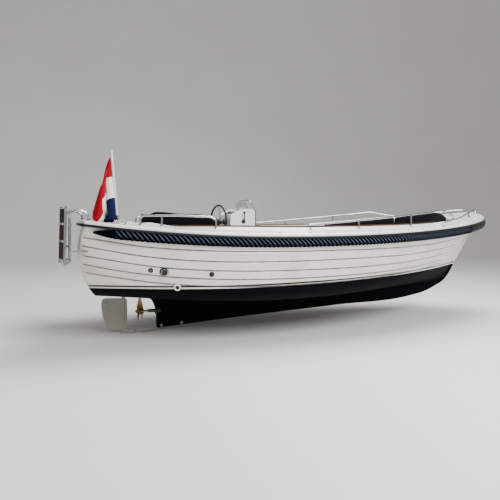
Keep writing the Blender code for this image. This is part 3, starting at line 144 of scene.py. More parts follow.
def coaming_z(x):
    """Top of the white coaming: the sheer and a rise that follows the rails' feet."""
    return sheer_z(x) + through(x, (0.0, 0.47, 0.56, 0.64, 0.74, 0.86, 1.1, 1.6, 2.4, 3.2, 4.0, 4.6),
                                (0.03, 0.03, 0.062, 0.074, 0.066, 0.058, 0.072, 0.09, 0.092, 0.086,
                                 0.076, 0.08))


def crown_z(x):
    """Height of the foredeck along the middle."""
    return through(x, (4.46, 4.7, 4.97, 5.11, 5.3, 5.42, 5.51), (0.8, 0.815, 0.834, 0.85, 0.866, 0.858, 0.818))


def deck_z(x, y):
    """Height of the deck under a fitting, from stern deck, side deck or foredeck."""
    if x < DECK_START:
        rim, inward = float(sheer_z(x)) + RIM, float(fender_half(x)) - abs(y)
        share = np.interp(inward, (0.046, FOOT, FACE, TOP, 0.191, 0.192), (0.0, 0.45, 0.93, 1.0, 1.0, 0.0))
        return rim + max(float(coaming_z(x)) - rim, 0.0) * float(share)
    if x < FORE_START:
        upper = side_section(np.array([float(x)]))[0][0][:7]
        return float(np.interp(-abs(y), -upper[:, 0], upper[:, 1]))
    half = float(fender_half(x)) - 0.02
    edge = float(sheer_z(x)) + RIM + SEAT_OF_DECK
    return edge + (float(crown_z(x)) - edge) * (1.0 - min(abs(y) / half, 1.0) ** 2.2)


# Meshes from whole arrays
def mesh_piece(name, points, faces, finish, body="boat", slot=None, uv=None, sharp=32.0, replaces=()):
    """One object from stations' points; uv holds a pair for each corner of each face."""
    mesh = bpy.data.meshes.new(name)
    points = np.asarray(points, float).reshape(-1, 3) + (AFT, 0.0, 0.0)
    mesh.from_pydata(points.tolist(), [], [list(map(int, f)) for f in faces])
    if uv is not None:
        layer = mesh.uv_layers.new(name="UVMap")
        layer.data.foreach_set("uv", np.asarray(uv, np.float32).ravel())
    work = bmesh.new()
    work.from_mesh(mesh)
    bmesh.ops.remove_doubles(work, verts=work.verts, dist=2e-5)
    bmesh.ops.recalc_face_normals(work, faces=work.faces)
    work.to_mesh(mesh)
    work.free()
    mesh.shade_smooth()
    mesh.set_sharp_from_angle(angle=radians(sharp))
    piece = bpy.data.objects.new(name, mesh)
    bpy.context.scene.collection.objects.link(piece)
    mesh.materials.append(finish)
    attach(piece, body)
    if replaces:
        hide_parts(*replaces)
    return piece


def grid_faces(rows, cols, around=False, down=False):
    """Corner numbers of the quads of a rows by cols grid, closed across or down where asked."""
    r = np.arange(rows if down else rows - 1)[:, None]
    c = np.arange(cols if around else cols - 1)[None, :]
    r1, c1 = (r + 1) % rows, (c + 1) % cols
    return np.stack([r * cols + c, r * cols + c1, r1 * cols + c1, r1 * cols + c], -1).reshape(-1, 4)


def run_lengths(points, axis, closed=False):
    """Distance along an axis of a grid of points, averaged over the other axis."""
    step = np.linalg.norm(np.diff(points, axis=axis), axis=-1).mean(axis=1 - axis)
    lengths = np.concatenate([[0.0], np.cumsum(step)])
    if closed:
        ends = np.take(points, 0, axis) - np.take(points, -1, axis)
        lengths = np.append(lengths, lengths[-1] + np.linalg.norm(ends, axis=-1).mean())
    return lengths


def loft(name, rings, finish, caps=True, loop=False, pairs=None, **options):
    """Skin over closed rings of equally many points; u runs along and v round in metres, or pairs has both."""
    rings = np.asarray(rings, float)
    rows, cols = rings.shape[:2]
    faces = grid_faces(rows, cols, True, loop)
    u, v = run_lengths(rings, 0, loop), run_lengths(rings, 1, True)
    r, c = np.indices((rows if loop else rows - 1, cols))
    corner = [np.stack([u[r + i], v[c + j]], -1).reshape(-1, 1, 2) for i, j in ((0, 0), (0, 1), (1, 1), (1, 0))]
    uv = np.concatenate(corner, 1).reshape(-1, 2) if pairs is None else pairs.reshape(-1, 2)[faces].reshape(-1, 2)
    faces = faces.tolist()
    if caps and not loop:
        faces += [list(range(cols))[::-1], [(rows - 1) * cols + k for k in range(cols)]]
        uv = np.concatenate([uv, np.zeros((2 * cols, 2))])
    return mesh_piece(name, rings.reshape(-1, 3), faces, finish, uv=uv, **options)


def soften(rings, radius, times=1):
    """Rounds each corner of closed rings: it gives way to a point on each side and one between."""
    rings = np.asarray(rings, float)
    for _ in range(times):
        before, after = np.roll(rings, 1, 1) - rings, np.roll(rings, -1, 1) - rings
        reach = [np.minimum(radius / np.maximum(np.linalg.norm(d, axis=2, keepdims=True), 1e-9), 0.32)
                 for d in (before, after)]
        a, b = rings + before * reach[0], rings + after * reach[1]
        rings = np.stack([a, 0.25 * a + 0.5 * rings + 0.25 * b, b], 2).reshape(rings.shape[0], -1, 3)
        radius *= 0.45
    return rings


def bend(corners, radii, steps=8):
    """Straight runs joined by arcs: each inner corner turns on its own radius."""
    corners = [np.asarray(c, float) for c in corners]
    path = [corners[0]]
    for k in range(1, len(corners) - 1):
        u, v = corners[k - 1] - corners[k], corners[k + 1] - corners[k]
        u, v = u / np.linalg.norm(u), v / np.linalg.norm(v)
        angle = acos(float(np.clip(u @ v, -1, 1)))
        reach = radii[k - 1] / tan(angle / 2.0)
        centre = corners[k] + (u + v) / np.linalg.norm(u + v) * radii[k - 1] / sin(angle / 2.0)
        first, last = corners[k] + u * reach - centre, corners[k] + v * reach - centre
        turn = pi - angle
        path += [centre + (first * sin((1 - t) * turn) + last * sin(t * turn)) / sin(turn)
                 for t in np.linspace(0, 1, steps)]
    return np.array(path + [corners[-1]])


def circle(count):
    """Angles of equally spaced points round a circle."""
    return np.arange(count) * 2 * pi / count


def ring_frames(path):
    """Side and up directions along a path, carried forward without twist."""
    tangent = np.gradient(path, axis=0)
    tangent /= np.linalg.norm(tangent, axis=1)[:, None]
    side = np.cross(tangent[0], (0.0, 0.0, 1.0))
    if np.linalg.norm(side) < 1e-3:
        side = np.cross(tangent[0], (0.0, 1.0, 0.0))
    sides = []
    for t in tangent:
        side = side - t * (side @ t)
        side = side / np.linalg.norm(side)
        sides.append(side)
    sides = np.array(sides)
    return sides, np.cross(tangent, sides)


def tube_rings(path, radius, sides=20):
    """Circles of a given radius at each point of a path."""
    path = np.asarray(path, float)
    across, up = ring_frames(path)
    radius = np.broadcast_to(np.asarray(radius, float), (len(path),))[:, None, None]
    turn = circle(sides)
    return path[:, None] + radius * (np.cos(turn)[None, :, None] * across[:, None]
                                     + np.sin(turn)[None, :, None] * up[:, None])


def tube(name, path, radius, finish, sides=20, **options):
    """A round bar along a path."""
    return loft(name, tube_rings(path, radius, sides), finish, **options)


def turned(name, start, axis, profile, finish, sides=28, **options):
    """A lathed piece: (distance, radius) pairs along an axis."""
    start, axis = np.asarray(start, float), np.asarray(axis, float) / np.linalg.norm(axis)
    across = np.cross(axis, (0.0, 0.0, 1.0) if abs(axis[2]) < 0.9 else (1.0, 0.0, 0.0))
    across /= np.linalg.norm(across)
    up = np.cross(axis, across)
    turn = circle(sides)[:, None]
    spokes = np.cos(turn) * across + np.sin(turn) * up
    rings = np.array([start + axis * d + spokes * max(r, 1e-4) for d, r in profile])
    return loft(name, rings, finish, **options)


def block(name, low, high, finish, radius=0.004, **options):
    """A box with rounded edges, in stations' coordinates."""
    (x0, y0, z0), (x1, y1, z1) = low, high
    ring = np.array([[(x, y0, z0), (x, y1, z0), (x, y1, z1), (x, y0, z1)] for x in (x0, x1)], float)
    middle = ring.mean(1, keepdims=True)
    small = middle + (ring - middle) * (
        1 - 2 * radius / np.maximum(np.ptp(ring, axis=1, keepdims=True), 2.2 * radius + 1e-6))
    shift = np.array([radius, 0, 0])
    rings = np.array([small[0], 0.3 * small[0] + 0.7 * ring[0] + shift * 0.3, ring[0] + shift,
                      ring[1] - shift, 0.3 * small[1] + 0.7 * ring[1] - shift * 0.3, small[1]])
    return loft(name, soften(rings, radius, 2), finish, **options)


def joined(name, pieces, *nodes):
    """Several shells become one piece, which keeps the first one's body and stands for the nodes."""
    with bpy.context.temp_override(active_object=pieces[0], selected_editable_objects=pieces,
                                   selected_objects=pieces, object=pieces[0]):
        bpy.ops.object.join()
    pieces[0].name = name
    pieces[0].data.name = name
    if nodes:
        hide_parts(*nodes)


# Finishes
def rgb(value):
    """sRGB hex to linear colour. A colour property's value is linear already."""
    if not isinstance(value, str):
        return tuple(value)
    parts = [int(value[k:k + 2], 16) / 255.0 for k in (1, 3, 5)]
    return tuple(p / 12.92 if p <= 0.04045 else ((p + 0.055) / 1.055) ** 2.4 for p in parts) + (1.0,)


class Finish:
    """A named material with a Principled shader. Its methods add nodes and return their sockets; spot is the
    place on the object in metres, and lie the piece's own map."""

    def __init__(self, name, colour, rough, **sockets):
        self.material = bpy.data.materials.new(name)
        self.material.use_nodes = True
        self.material.diffuse_color = rgb(colour)
        self.tree = self.material.node_tree
        self.shader = self.tree.nodes["Principled BSDF"]
        for key, value in {"Base Color": rgb(colour), "Roughness": rough, **sockets}.items():
            self.shader.inputs[key.replace("_", " ")].default_value = value
        place = self.add("ShaderNodeTexCoord")
        self.spot, self.lie = place.outputs["Object"], place.outputs["UV"]

    def add(self, kind, inputs=None, **settings):
        """Adds one node, with its settings, and its sockets' values or links."""
        node = self.tree.nodes.new(kind)
        for key, value in settings.items():
            setattr(node, key, value)
        for key, value in (inputs or {}).items():
            if isinstance(value, bpy.types.NodeSocket):
                self.tree.links.new(value, node.inputs[key])
            else:
                node.inputs[key].default_value = value
        return node

    def feed(self, socket, value):
        """Links a value to the shader's socket."""
        self.tree.links.new(value, self.shader.inputs[socket])

    def noise(self, scale, detail=3.0, rough=0.5, vector=None):
        """Cloudy value, over the object's place unless told otherwise."""
        vector = self.spot if vector is None else vector
        return self.add("ShaderNodeTexNoise", {"Vector": vector, "Scale": scale, "Detail": detail,
                                               "Roughness": rough}).outputs["Fac"]

    def math(self, operation, *values):
        """One sum on up to three values."""
        return self.add("ShaderNodeMath", dict(enumerate(values)), operation=operation).outputs[0]

    def wave(self, vector, direction, **inputs):
        """Bands across one axis."""
        inputs = {key.replace("_", " "): value for key, value in inputs.items()}
        return self.add("ShaderNodeTexWave", {"Vector": vector, **inputs},
                        bands_direction=direction).outputs["Fac"]

    def between(self, value, low, high, first, last):
        """A value carried from one range to another, and held at its ends."""
        return self.add("ShaderNodeMapRange", {"Value": value, "From Min": low, "From Max": high, "To Min": first,
                                               "To Max": last}).outputs[0]

    def ramp(self, factor, low, high, first, last):
        """Colour that runs from one value to another between two positions."""
        node = self.add("ShaderNodeValToRGB", {"Fac": factor})
        for end, place, colour in zip(node.color_ramp.elements, (low, high), (first, last)):
            end.position, end.color = place, rgb(colour)
        return node.outputs["Color"]

    def mix(self, factor, first, last, blend="MIX"):
        """Two colours laid over each other; each is a socket or a value."""
        node = self.add("ShaderNodeMix", {"Factor": factor}, data_type="RGBA", blend_type=blend)
        for socket, value in zip([s for s in node.inputs if s.type == "RGBA"], (first, last)):
            if isinstance(value, bpy.types.NodeSocket):
                self.tree.links.new(value, socket)
            else:
                socket.default_value = rgb(value)
        return [s for s in node.outputs if s.type == "RGBA"][0]

    def stain(self, factor, low, high, first, last):
        """Base colour by a ramp."""
        self.feed("Base Color", self.ramp(factor, low, high, first, last))

    def gloss(self, scale, low, high):
        """Roughness that wanders between two values."""
        self.feed("Roughness", self.between(self.noise(scale, 4.0), 0.3, 0.7, low, high))

    def dent(self, height, strength, distance):
        """Small relief by a height."""
        self.feed("Normal", self.add("ShaderNodeBump", {"Height": height, "Strength": strength,
                                                        "Distance": distance}).outputs["Normal"])


def gelcoat(name, colour, dull, rough=0.12):
    """Sprayed gelcoat off a polished mould: a clear gloss, a faint print of the cloth and a little chalking."""
    look = Finish(name, colour, rough, IOR=1.5, Coat_Weight=0.35, Coat_Roughness=0.06)
    look.stain(look.noise(3.0, 5.0), 0.35, 0.7, colour, dull)
    look.gloss(9.0, rough, rough + 0.1)
    look.dent(look.noise(42.0, 2.0), 0.05, 0.002)
    return look.material


def topsides(name, white, chalk, dirt_and_shade, navy, wear_and_highlight, pin):
    """Gelcoat topsides with painted shade under the laps, made patchy by noise, over matt bottom paint with a pin
    line above. The paint's edge climbs as a parabola of the station; v of the map tells where the painted shade
    lies, and is below 0 inside."""
    look = Finish(name, white, 0.12, IOR=1.5, Coat_Weight=0.4, Coat_Roughness=0.05)
    axes = look.add("ShaderNodeSeparateXYZ", {"Vector": look.spot})
    station = look.math("ADD", axes.outputs["X"], -AFT)
    climb = look.math("MULTIPLY_ADD", station, 0.0036, 0.006)
    above = look.math("SUBTRACT", axes.outputs["Z"], look.math("MULTIPLY_ADD", station, climb, 0.011))
    held = look.add("ShaderNodeSeparateXYZ", {"Vector": look.lie}).outputs["Y"]
    outside = look.math("GREATER_THAN", held, -0.5)
    patchy = look.math("MULTIPLY_ADD", look.noise(14.0, 5.0), 0.7, 0.47)
    clean = look.ramp(look.noise(3.2, 5.0), 0.35, 0.7, white, chalk)
    # painted shade: a dark band under each lap, stronger or weaker by noise
    skin = look.mix(look.math("MULTIPLY", held, patchy), clean, dirt_and_shade)
    away = look.math("ABSOLUTE", look.math("SUBTRACT", above, 0.024))
    line = look.math("MULTIPLY", look.between(away, 0.0085, 0.0098, 1.0, 0.0), outside)
    under = look.math("MULTIPLY", look.between(above, -0.0008, 0.0008, 1.0, 0.0), outside)
    skin = look.mix(line, skin, pin)
    skin = look.mix(under, skin, look.ramp(look.noise(6.0, 6.0, 0.6), 0.3, 0.75, navy, wear_and_highlight))
    look.feed("Base Color", skin)
    for socket, bare, painted in (("Roughness", 0.13, 0.62), ("Specular IOR Level", 0.5, 0.05),
                                  ("Coat Weight", 0.4, 0.0)):
        look.feed(socket, look.between(under, 0.0, 1.0, bare, painted))
    look.dent(look.noise(30.0, 2.0), 0.04, 0.002)
    return look.material


def rubber(name, colour, dust, rough=0.42):
    """Extruded fender rubber: a dull skin with drag lines and a bloom of salt."""
    look = Finish(name, colour, rough, IOR=1.52, Specular_IOR_Level=0.3)
    look.stain(look.noise(7.0, 8.0, 0.65), 0.42, 0.75, colour, dust)
    look.gloss(25.0, rough - 0.08, rough + 0.16)
    look.dent(look.noise(260.0), 0.1, 0.0012)
    return look.material


def laid_rope(name, colour, crown):
    """Twisted polyester, near black, with a painted grey highlight along the strands' crowns, broken up by yarn
    noise. v of the map runs from groove to crown."""
    look = Finish(name, colour, 0.85, IOR=1.5, Specular_IOR_Level=0.05)
    height = look.add("ShaderNodeSeparateXYZ", {"Vector": look.lie}).outputs["Y"]
    yarn = look.noise(150.0)
    # painted highlight: the crowns' weight, broken by yarn noise, lightens them towards the crown colour
    wear_and_highlight = look.math("MULTIPLY", height, look.math("MULTIPLY_ADD", yarn, 0.35, 0.83))
    look.stain(wear_and_highlight, 0.84, 1.03, colour, crown)
    look.dent(yarn, 0.3, 0.0016)
    return look.material


def steel(name, rough=0.1):
    """Marine stainless tube, buffed: bright, with faint polishing marks and tea stains."""
    look = Finish(name, "#B9BBBD", rough, Metallic=1.0)
    look.stain(look.noise(24.0, 5.0), 0.45, 0.85, "#BDBFC1", "#96918A")
    look.gloss(60.0, rough, rough + 0.14)
    return look.material


def timber(name, light, dark, by_map=True, shine=0.25):
    """Oiled teak, planed: straight grain about 4 mm wide with darker pores, grey where it weathers."""
    look = Finish(name, light, 0.6, IOR=1.48, Specular_IOR_Level=shine)
    wide, narrow = (look.add("ShaderNodeMapping", {"Vector": look.lie if by_map else look.spot, "Scale": scale})
                    for scale in ((0.9, 16.0, 16.0), (6.0, 240.0, 240.0)))
    grain = look.wave(wide.outputs[0], "Y", Scale=3.2, Distortion=5.0, Detail=4.0, Detail_Scale=1.4)
    pores = look.noise(3.0, vector=narrow.outputs[0])
    look.stain(look.math("MULTIPLY_ADD", grain, 0.55, look.math("MULTIPLY", pores, 0.55)), 0.25, 0.85, dark,
               light)
    look.dent(pores, 0.18, 0.0008)
    return look.material


def plastic(name, colour, rough=0.38, grain=420.0):
    """Moulded plastic with a fine spark-eroded grain."""
    look = Finish(name, colour, rough, IOR=1.49)
    look.gloss(30.0, rough - 0.06, rough + 0.1)
    look.dent(look.noise(grain, 2.0), 0.12, 0.0008)
    return look.material


def bronze(name, colour, dark, rough=0.24):
    """Cast metal, ground and buffed: bright, browner in the hollows, with fine grinding marks."""
    look = Finish(name, colour, rough, Metallic=1.0)
    look.stain(look.noise(18.0, 6.0, 0.6), 0.35, 0.75, colour, dark)
    look.gloss(45.0, rough, rough + 0.2)
    look.dent(look.noise(160.0), 0.1, 0.0008)
    return look.material


def acrylic(name):
    """Cast acrylic sheet, polished: clear with a cold tint and a few rub marks."""
    look = Finish(name, "#C9DCD6", 0.03, IOR=1.49, Transmission_Weight=1.0)
    look.gloss(12.0, 0.015, 0.07)
    return look.material


def canvas(name, colour, thread, pitch=0.0032):
    """Woven acrylic upholstery. A real 0.7 mm thread would vanish, so the basket weave is drawn 3.2 mm wide."""
    look = Finish(name, colour, 0.85, IOR=1.45, Specular_IOR_Level=0.12, Sheen_Weight=0.03, Sheen_Roughness=0.5)
    x, y, z = (look.wave(look.spot, axis, Scale=0.314 / pitch, Distortion=0.3) for axis in "XYZ")
    weave = look.math("MULTIPLY", look.math("ADD", x, y), z)
    tint = look.math("MULTIPLY_ADD", weave, 0.35, look.math("MULTIPLY", look.noise(4.0, 6.0), 0.7))
    look.stain(tint, 0.25, 0.85, colour, thread)
    look.dent(weave, 0.22, 0.001)
    return look.material


def bunting(name, bands, drop):
    """Woven polyester flag cloth in three bands across its hoist, with a fine cross weave drawn 3 mm wide."""
    look = Finish(name, bands[1], 0.8, IOR=1.45, Specular_IOR_Level=0.15)
    fall = look.add("ShaderNodeSeparateXYZ", {"Vector": look.lie}).outputs["Y"]
    stripes = look.add("ShaderNodeValToRGB", {"Fac": look.math("DIVIDE", fall, drop)})
    stripes.color_ramp.interpolation = "CONSTANT"
    stripes.color_ramp.elements[1].position = 1 / 3
    stripes.color_ramp.elements.new(2 / 3)
    for stripe, colour in zip(stripes.color_ramp.elements, bands):
        stripe.color = rgb(colour)
    dirt_and_shade = look.ramp(look.noise(9.0, 5.0, vector=look.lie), 0.3, 0.8, "#FFFFFF", "#D6D3CF")
    look.feed("Base Color", look.mix(0.6, stripes.outputs["Color"], dirt_and_shade, "MULTIPLY"))
    weave = [look.wave(look.lie, axis, Scale=100.0) for axis in "XY"]
    look.dent(look.math("ADD", *weave), 0.15, 0.0008)
    return look.material


def anti_slip(name, colour, dark):
    """Moulded anti-slip gelcoat: rows of low studs 12 mm apart, dirt held between them."""
    look = Finish(name, colour, 0.55, IOR=1.5)
    studs = look.add("ShaderNodeTexVoronoi", {"Vector": look.spot, "Scale": 82.0, "Randomness": 0.0},
                     distance="EUCLIDEAN").outputs["Distance"]
    dirt_and_shade = look.math("MULTIPLY_ADD", studs, 0.5, look.math("MULTIPLY", look.noise(5.0, 6.0), 0.6))
    look.stain(dirt_and_shade, 0.3, 0.8, colour, dark)
    look.dent(look.between(studs, 0.2, 0.45, 1.0, 0.0), 0.5, 0.0012)
    return look.material


WHITE = gelcoat("sprayed white gelcoat", "#F3F3F1", "#E8E7E2")
STEEL = steel("buffed marine stainless")
TEAK = timber("oiled planed teak", "#5F3D29", "#2E1C14")
TREAD = timber("oiled teak tread", "#34180D", "#170803", False, 0.05)
BLACK = plastic("black moulded nylon", "#0D0D10")
GREY = plastic("grey moulded acetal", "#5E6062", 0.42)
BRONZE = bronze("buffed cast bronze", "#A07C45", "#5E4626")
OLD_BRONZE = bronze("sea-worn bronze", "#6B5F4C", "#3E372C", 0.38)
# The rudder, stock and heel strap are a pale grey-beige; these greys are darker, painted shade for their place
# under the hull.
PALE_IN_PAINTED_SHADE = gelcoat("pale epoxy coated plate", "#98958A", "#848176", 0.5)
ZINC = bronze("cast zinc", "#A9ABAA", "#7C7F80", 0.5)
CLEAR = acrylic("cast clear acrylic")
PAINT = gelcoat("white enamelled ash", "#EFEFEC", "#E2E0DA", 0.22)
ENGINE = plastic("blue engine enamel", "#24425A", 0.3, 200.0)
SOLE = anti_slip("moulded grey anti-slip gelcoat", "#C4C4BE", "#9A998F")


# Hull
def stem_x(z):
    """Station of the stem's face at a height."""
    return through(np.clip(z, -0.235, 0.724), (-0.235, -0.172, -0.1, 0.02, 0.167, 0.559, 0.724),
                   (4.542, 4.7, 4.847, 4.955, 5.042, 5.308, 5.42))


def transom_x(z):
    """Station of the transom's middle at a height: a flat parabola."""
    return 0.75 * (z - 0.38) ** 2 - 0.01


def plank_rows(share, lap):
    """Depth below the sheer by station and row, and each row's stand-off and weight of painted shade. A plank
    leans out to its lap, then the next one starts in a shallow groove behind it."""
    depth, out, dirt_and_shade, above = [0 * share], [0.0], [0.0], 0 * share
    for line in LANDS:
        land = through(share, *line)
        for f in (0.3, 0.6, 0.85):
            depth.append(above + (land - 0.006 - above) * f)
            out.append(lap * f)
            dirt_and_shade.append(0.0)
        for shift, stand, held in GROOVE:
            depth.append(land + shift)
            out.append(lap * stand)
            dirt_and_shade.append(held)
        above = land + GROOVE[-1][0]
    return np.stack(depth, 1), np.array(out), np.array(dirt_and_shade)


def side_half(share, z, skin):
    """Half-breadth of the side by share of the length and height: boot line to sheer by 1 - (1 - t)^FLARE."""
    top, low = sheer_z(share * LENGTH * REACH), 0.049 + 0.131 * share ** 3
    water, side = stripe_half(share) - skin, plan_half(share, BEAM - DEPTH, STERN - DEPTH) - skin
    t = (z - low) / (top - low)
    return water + (side - water) * np.where(t > 0, 1 - (1 - np.clip(t, 0, 1)) ** FLARE, FLARE * t)


def hull_side(share, skin, lap):
    """One side's points and weight of painted shade by station and row; the bilge below the side is a
    superellipse quarter.
    """
    share = np.asarray(share, float)
    depth, out, dirt_and_shade = plank_rows(share, lap)
    share = share[:, None]
    edge = np.clip((LAP_END - share) / 0.005, 0, 1) * np.clip((share - 0.001) / 0.002, 0, 1)
    z = sheer_z(share * LENGTH * REACH) - depth
    half = np.maximum(side_half(share, z, skin), 0.02 - skin * 0.5)
    base_z, base_half = z[:, -1:], half[:, -1:]
    half = half + out * edge
    fall = base_z - (-0.118 - 0.085 * np.sin(pi * share ** 0.85) ** 1.3 + skin)
    power = 2.0 / (2.5 - 0.9 * share ** 2)
    angle = np.radians(np.linspace(4, 90, 22))[None, :]
    z = np.concatenate([z, base_z - fall * np.sin(angle) ** power], 1)
    half = np.concatenate([half, base_half * np.maximum(np.cos(angle), 0) ** power], 1)
    half[:, -1] = 0.0
    held = np.concatenate([dirt_and_shade * edge, 0 * angle * share], 1)
    start = transom_x(z) + CAMBER + skin
    return np.stack([start + share * (stem_x(z) - 0.012 - skin * 2.5 - start), -half, z, held], -1)


def hull_grid(skin, lap):
    """The whole skin as one ring of columns: transom, starboard side, stem and port side. The weight of painted
    shade comes fourth.
    """
    q = np.linspace(0, 1, 120)
    share = np.sort(np.r_[1 - (1 - q) ** 1.5, 0.001, 0.003, 0.902, LAP_END])
    side = hull_side(share, skin, lap)
    part = np.array([0.0, 0.15, 0.3, 0.45, 0.6, 0.73, 0.85, 0.92, 0.965, 0.985])[:, None]
    back = CAMBER * through(part, CROWN + (1.0,), (1.0, 0.93, 0.82, 0.7, 0.42, 0.0))
    corner = side[0]
    stern = np.stack([corner[:, 0] - back, corner[:, 1] * part, corner[:, 2] + 0 * part,
                      0 * corner[:, 3] * part], -1)
    nose = side[-1] * (1, 0, 1, 0) + (0.006, 0, 0, 0)
    starboard = np.concatenate([stern, side, nose[None]])
    port = starboard[1:-1][::-1] * (1, -1, 1, 1)
    return np.concatenate([starboard, port]).transpose(1, 0, 2)


def inset(outline, distance):
    """Moves a closed outline inward, corner by corner, along the mean of the sides' normals."""
    before, after = np.roll(outline, 1, 0) - outline, np.roll(outline, -1, 0) - outline
    before, after = (d / np.maximum(np.linalg.norm(d, axis=1, keepdims=True), 1e-9) for d in (before, after))
    a, b = np.stack([before[:, 1], -before[:, 0]], 1), np.stack([-after[:, 1], after[:, 0]], 1)
    middle = (a + b) / np.linalg.norm(a + b, axis=1, keepdims=True)
    return outline + middle * (distance / np.maximum((middle * b).sum(1), 0.4))[:, None]


def smooth_run(points, steps):
    """A smooth line through points of a profile, by the distance along it."""
    points = np.array(points, float)
    along = np.r_[0, np.cumsum(np.linalg.norm(np.diff(points, axis=0), axis=1))]
    t = np.linspace(0, along[-1], steps)
    return np.stack([through(t, along, points[:, k]) for k in range(points.shape[1])], 1)


def build_hull(sizes, colours):
    """Outer and inner skin as one closed grid, and keel, deadwood and stem as one plate with rounded edges."""
    # 3A3631 is the colour of the painted shade under the laps
    paint = topsides("off-white gelcoat over matt navy bottom paint", colours.topsides, "#D8D4C9", "#3A3631",
                     colours.bottom, "#08060D", "#050409")
    outer, inner = hull_grid(0.0, sizes.plank_lap), hull_grid(SKIN, 0.0)
    inner[..., 3] = -1.0
    skin = np.concatenate([outer[::-1], inner])
    loft("hull_skin", skin[..., :3], paint, caps=False, pairs=skin[..., (0, 3)], slot="hull_gelcoat", sharp=40.0,
         replaces=("hull",))
    lines = [smooth_run(p, n) for p, n in (
        (((0.6, -0.1), (0.692, -0.154), (0.774, -0.203), (0.812, -0.281), (0.838, -0.51)), 24),
        (((0.838, -0.51), (1.593, -0.454), (3.089, -0.363), (4.244, -0.296), (4.542, -0.235), (4.7, -0.172),
          (4.847, -0.1), (4.955, 0.02), (5.042, 0.167), (5.308, 0.559), (5.42, 0.724)), 90))]
    rest = ((5.3, 0.7), (5.15, 0.45), (4.93, 0.18), (4.78, 0.02), (4.5, -0.05), (0.64, -0.05))
    outline = np.concatenate([lines[0], lines[1][1:], rest])
    half = np.interp(outline[:, 0], (0.0, 3.6, 4.9, 6.0), (0.042, 0.042, 0.02, 0.02))
    rings, round_edge = [], 0.012
    for side in (-1, 1):
        for chamfer in (round_edge, 0.0075, 0.0035, 0.001, 0.0)[::-side]:
            deep = round_edge - sqrt(max(round_edge ** 2 - chamfer ** 2, 0)) if chamfer else 0.0
            edge = inset(outline, chamfer) if chamfer else outline
            rings.append(np.stack([edge[:, 0], side * (half - deep), edge[:, 1]], -1))
    rings = np.array(rings)
    loft("keel_and_stem", rings, paint, pairs=rings[..., :2] * 0, slot="hull_gelcoat", sharp=50.0)


# Fenders
def fender_line(stations, side):
    """Points on the planking at the sheer and outward directions, in plan."""
    x = np.asarray(stations, float)
    slope = (fender_half(np.minimum(x + 0.01, LENGTH - 1e-4)) - fender_half(np.maximum(x - 0.01, 0))) / 0.02
    normal = np.stack([-slope, np.ones_like(x)], 1) / np.hypot(slope, 1)[:, None]
    point = np.stack([x, fender_half(x)], 1) - normal * DEPTH
    return point * (1, side), normal * (1, side)


def bow_arc(steps, tip):
    """Plan line round the stem, starboard to port; the direction turns evenly with the offset."""
    (point,), (normal,) = fender_line([5.5], -1)
    f = np.linspace(-1, 1, steps)[1:-1]
    turn = atan2(abs(normal[1]), normal[0]) * f
    return (np.stack([point[0] + (tip - point[0]) * (1 - f ** 2), -point[1] * f], 1),
            np.stack([np.cos(turn), np.sin(turn)], 1))


def bow_line(start, steps, tip):
    """Plan line from one side round the stem to the other."""
    a, n = fender_line(np.linspace(start, 5.5, 50), -1)
    arc, facing = bow_arc(steps, tip)
    return np.concatenate([a, arc, (a * (1, -1))[::-1]]), np.concatenate([n, facing, (n * (1, -1))[::-1]])


def swept(points, normals, profile):
    """Rings of (out, up) offsets; heights follow the sheer at each point's own station."""
    profile = np.asarray(profile, float)
    xy = points[:, None] + normals[:, None] * profile[None, :, :1]
    return np.concatenate([xy, (sheer_z(xy[..., 0]) + profile[:, 1])[..., None]], -1)


def stern_line():
    """Plan line across the transom, starboard to port, and its outward directions."""
    half, start = STERN - DEPTH, float(transom_x(sheer_z(0.0))) + CAMBER
    share = np.linspace(CROWN[-1], -CROWN[-1], 41)
    back = through(np.abs(share), CROWN, (1.0, 0.93, 0.82, 0.7, 0.42))
    lean = through(np.abs(share), CROWN, (0.0, 0.05, 0.09, 0.24, 0.69))
    normal = np.stack([-np.sqrt(1 - lean ** 2), -np.sign(share) * lean], 1)
    return np.stack([start - CAMBER * back, -share * half], 1), normal


def roll_section(angle, radius, size=1.0):
    """Offsets of the roll, out and up from the sheer: an upright oval, flat where it meets the planking."""
    return np.maximum(0.018 * size + radius * np.cos(angle), -0.006), -0.0655 + 1.22 * radius * np.sin(angle)


